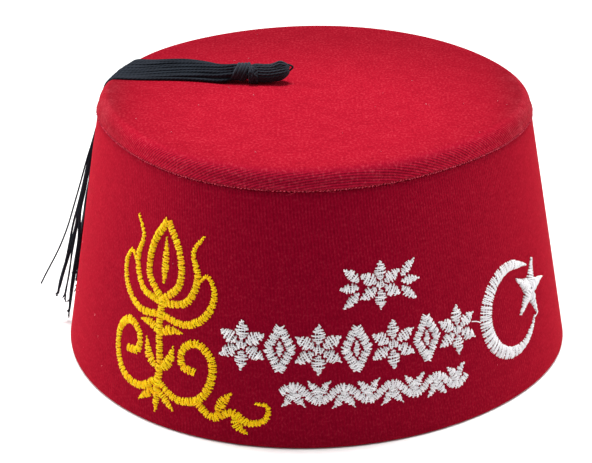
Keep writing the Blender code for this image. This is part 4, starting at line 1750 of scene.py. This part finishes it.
@dataclass
class Studio:
    """White paper, soft light all round, and the camera at the photograph's angle."""

    elevation: float = 22.361  # degrees
    distance: float = 0.8
    aim: tuple[float, float, float] = (-0.0050, 0.0011, 0.0401)
    roll: float = -0.113  # degrees
    lens: float = 129.558
    world: float = 0.25  # the surroundings' light on the hat
    floor: float = 4.0  # half the paper's width
    lamps: tuple = (  # name, turn and lift in degrees, distance, side and level
        ("left_softbox", -190.0, 22.0, 0.5, 0.3, 0.60),
        ("right_softbox", 10.0, 22.0, 0.5, 0.3, 0.42),
        ("near_softbox", -90.0, 84.0, 0.33, 0.25, 0.20),
    )
    overhead: float = 1.12  # level of the broad light from above
    overhead_width: float = 18.0  # degrees
    overhead_tilt: float = -9.0  # degrees towards the back

    def camera(self) -> None:
        """Place the camera."""
        data = bpy.data.cameras.new("camera")
        data.lens = self.lens
        data.sensor_width = 36.0
        data.sensor_fit = "HORIZONTAL"
        data.clip_start = 0.01
        camera = add_object("camera", data)
        lift, roll = math.radians(self.elevation), math.radians(self.roll)
        back = Vector((0.0, -math.cos(lift), math.sin(lift)))
        level, up = Vector((1.0, 0.0, 0.0)), Vector((0.0, math.sin(lift), math.cos(lift)))
        right = math.cos(roll) * level + math.sin(roll) * up
        above = -math.sin(roll) * level + math.cos(roll) * up
        place = Vector(self.aim) + back * self.distance
        rows = [[right[k], above[k], back[k], place[k]] for k in range(3)]
        camera.matrix_world = Matrix([*rows, [0.0, 0.0, 0.0, 1.0]])
        bpy.context.scene.camera = camera

    def lamp(
        self, name: str, turn: float, lift: float, distance: float, size: float, level: float
    ) -> None:
        """Add a soft square lamp that faces the crown.

        Args:
            name: The lamp's name.
            turn: Degrees about +Z from +X.
            lift: Degrees above level.
            distance: From the hat's middle.
            size: Its side.
            level: Its light on the hat; 1 would make white paper exactly white.
        """
        data = bpy.data.lights.new(name, "AREA")
        data.size = size
        data.energy = level * (math.pi * distance) ** 2
        lamp = add_object(name, data)
        around, above = math.radians(turn), math.radians(lift)
        level_way = (math.cos(above) * math.cos(around), math.cos(above) * math.sin(around))
        way = Vector((*level_way, math.sin(above)))
        lamp.location = Vector((0.0, 0.0, 0.07)) + way * distance
        lamp.rotation_euler = way.to_track_quat("Z", "Y").to_euler()
        lamp.visible_camera = False

    def build(self) -> None:
        """Make the floor, the lights, the surroundings and the camera.

        The surroundings are white where the camera sees them, and dimmer to everything else.
        """
        side = self.floor
        mesh = bpy.data.meshes.new("floor")
        corners = [(-side, -side, 0.0), (side, -side, 0.0), (side, side, 0.0), (-side, side, 0.0)]
        mesh.from_pydata(corners, [], [(0, 1, 2, 3)])
        mesh.materials.append(StudioPaper().build())
        add_object("floor", mesh)
        world = bpy.data.worlds.new("studio")
        world.use_nodes = True
        sky = world.node_tree.nodes["Background"]
        seen = add_node(world.node_tree, "LightPath").outputs["Is Camera Ray"]
        strength = add_node(world.node_tree, "MapRange", {0: seen, 3: self.world, 4: 1.0})
        plug(sky, {"Color": (1.0, 1.0, 1.0, 1.0), "Strength": strength})
        bpy.context.scene.world = world
        for lamp in self.lamps:
            self.lamp(*lamp)
        data = bpy.data.lights.new("overhead_light", "SUN")
        data.energy = self.overhead * math.pi
        data.angle = math.radians(self.overhead_width)
        overhead = add_object("overhead_light", data)
        overhead.rotation_euler = (math.radians(self.overhead_tilt), 0.0, 0.0)
        bpy.context.scene.view_settings.view_transform = "Standard"
        self.camera()


def main() -> None:
    """Dress the hat, set the studio and report each piece."""
    logging.basicConfig(level=logging.INFO, format="%(name)s: %(message)s")
    form = HatForm()
    back = ClothBack().build()
    WallCloth(form).build(WALL_VELOUR.build(), back)
    CrownCloth(form).build(CROWN_VELOUR.build(), back)
    SeamEdge(form).build(PINCHED_EDGE.build())
    Tassel(form).build(TASSEL_CORD.build(), MATTED_CORD_PAINTED_LIGHTER.build())
    Embroidery(form).build(WHITE_THREAD.build(), GOLD_THREAD.build())
    Lint(form).build(LINT_FIBRE.build())
    Studio().build()


if __name__ == "__main__":
    main()
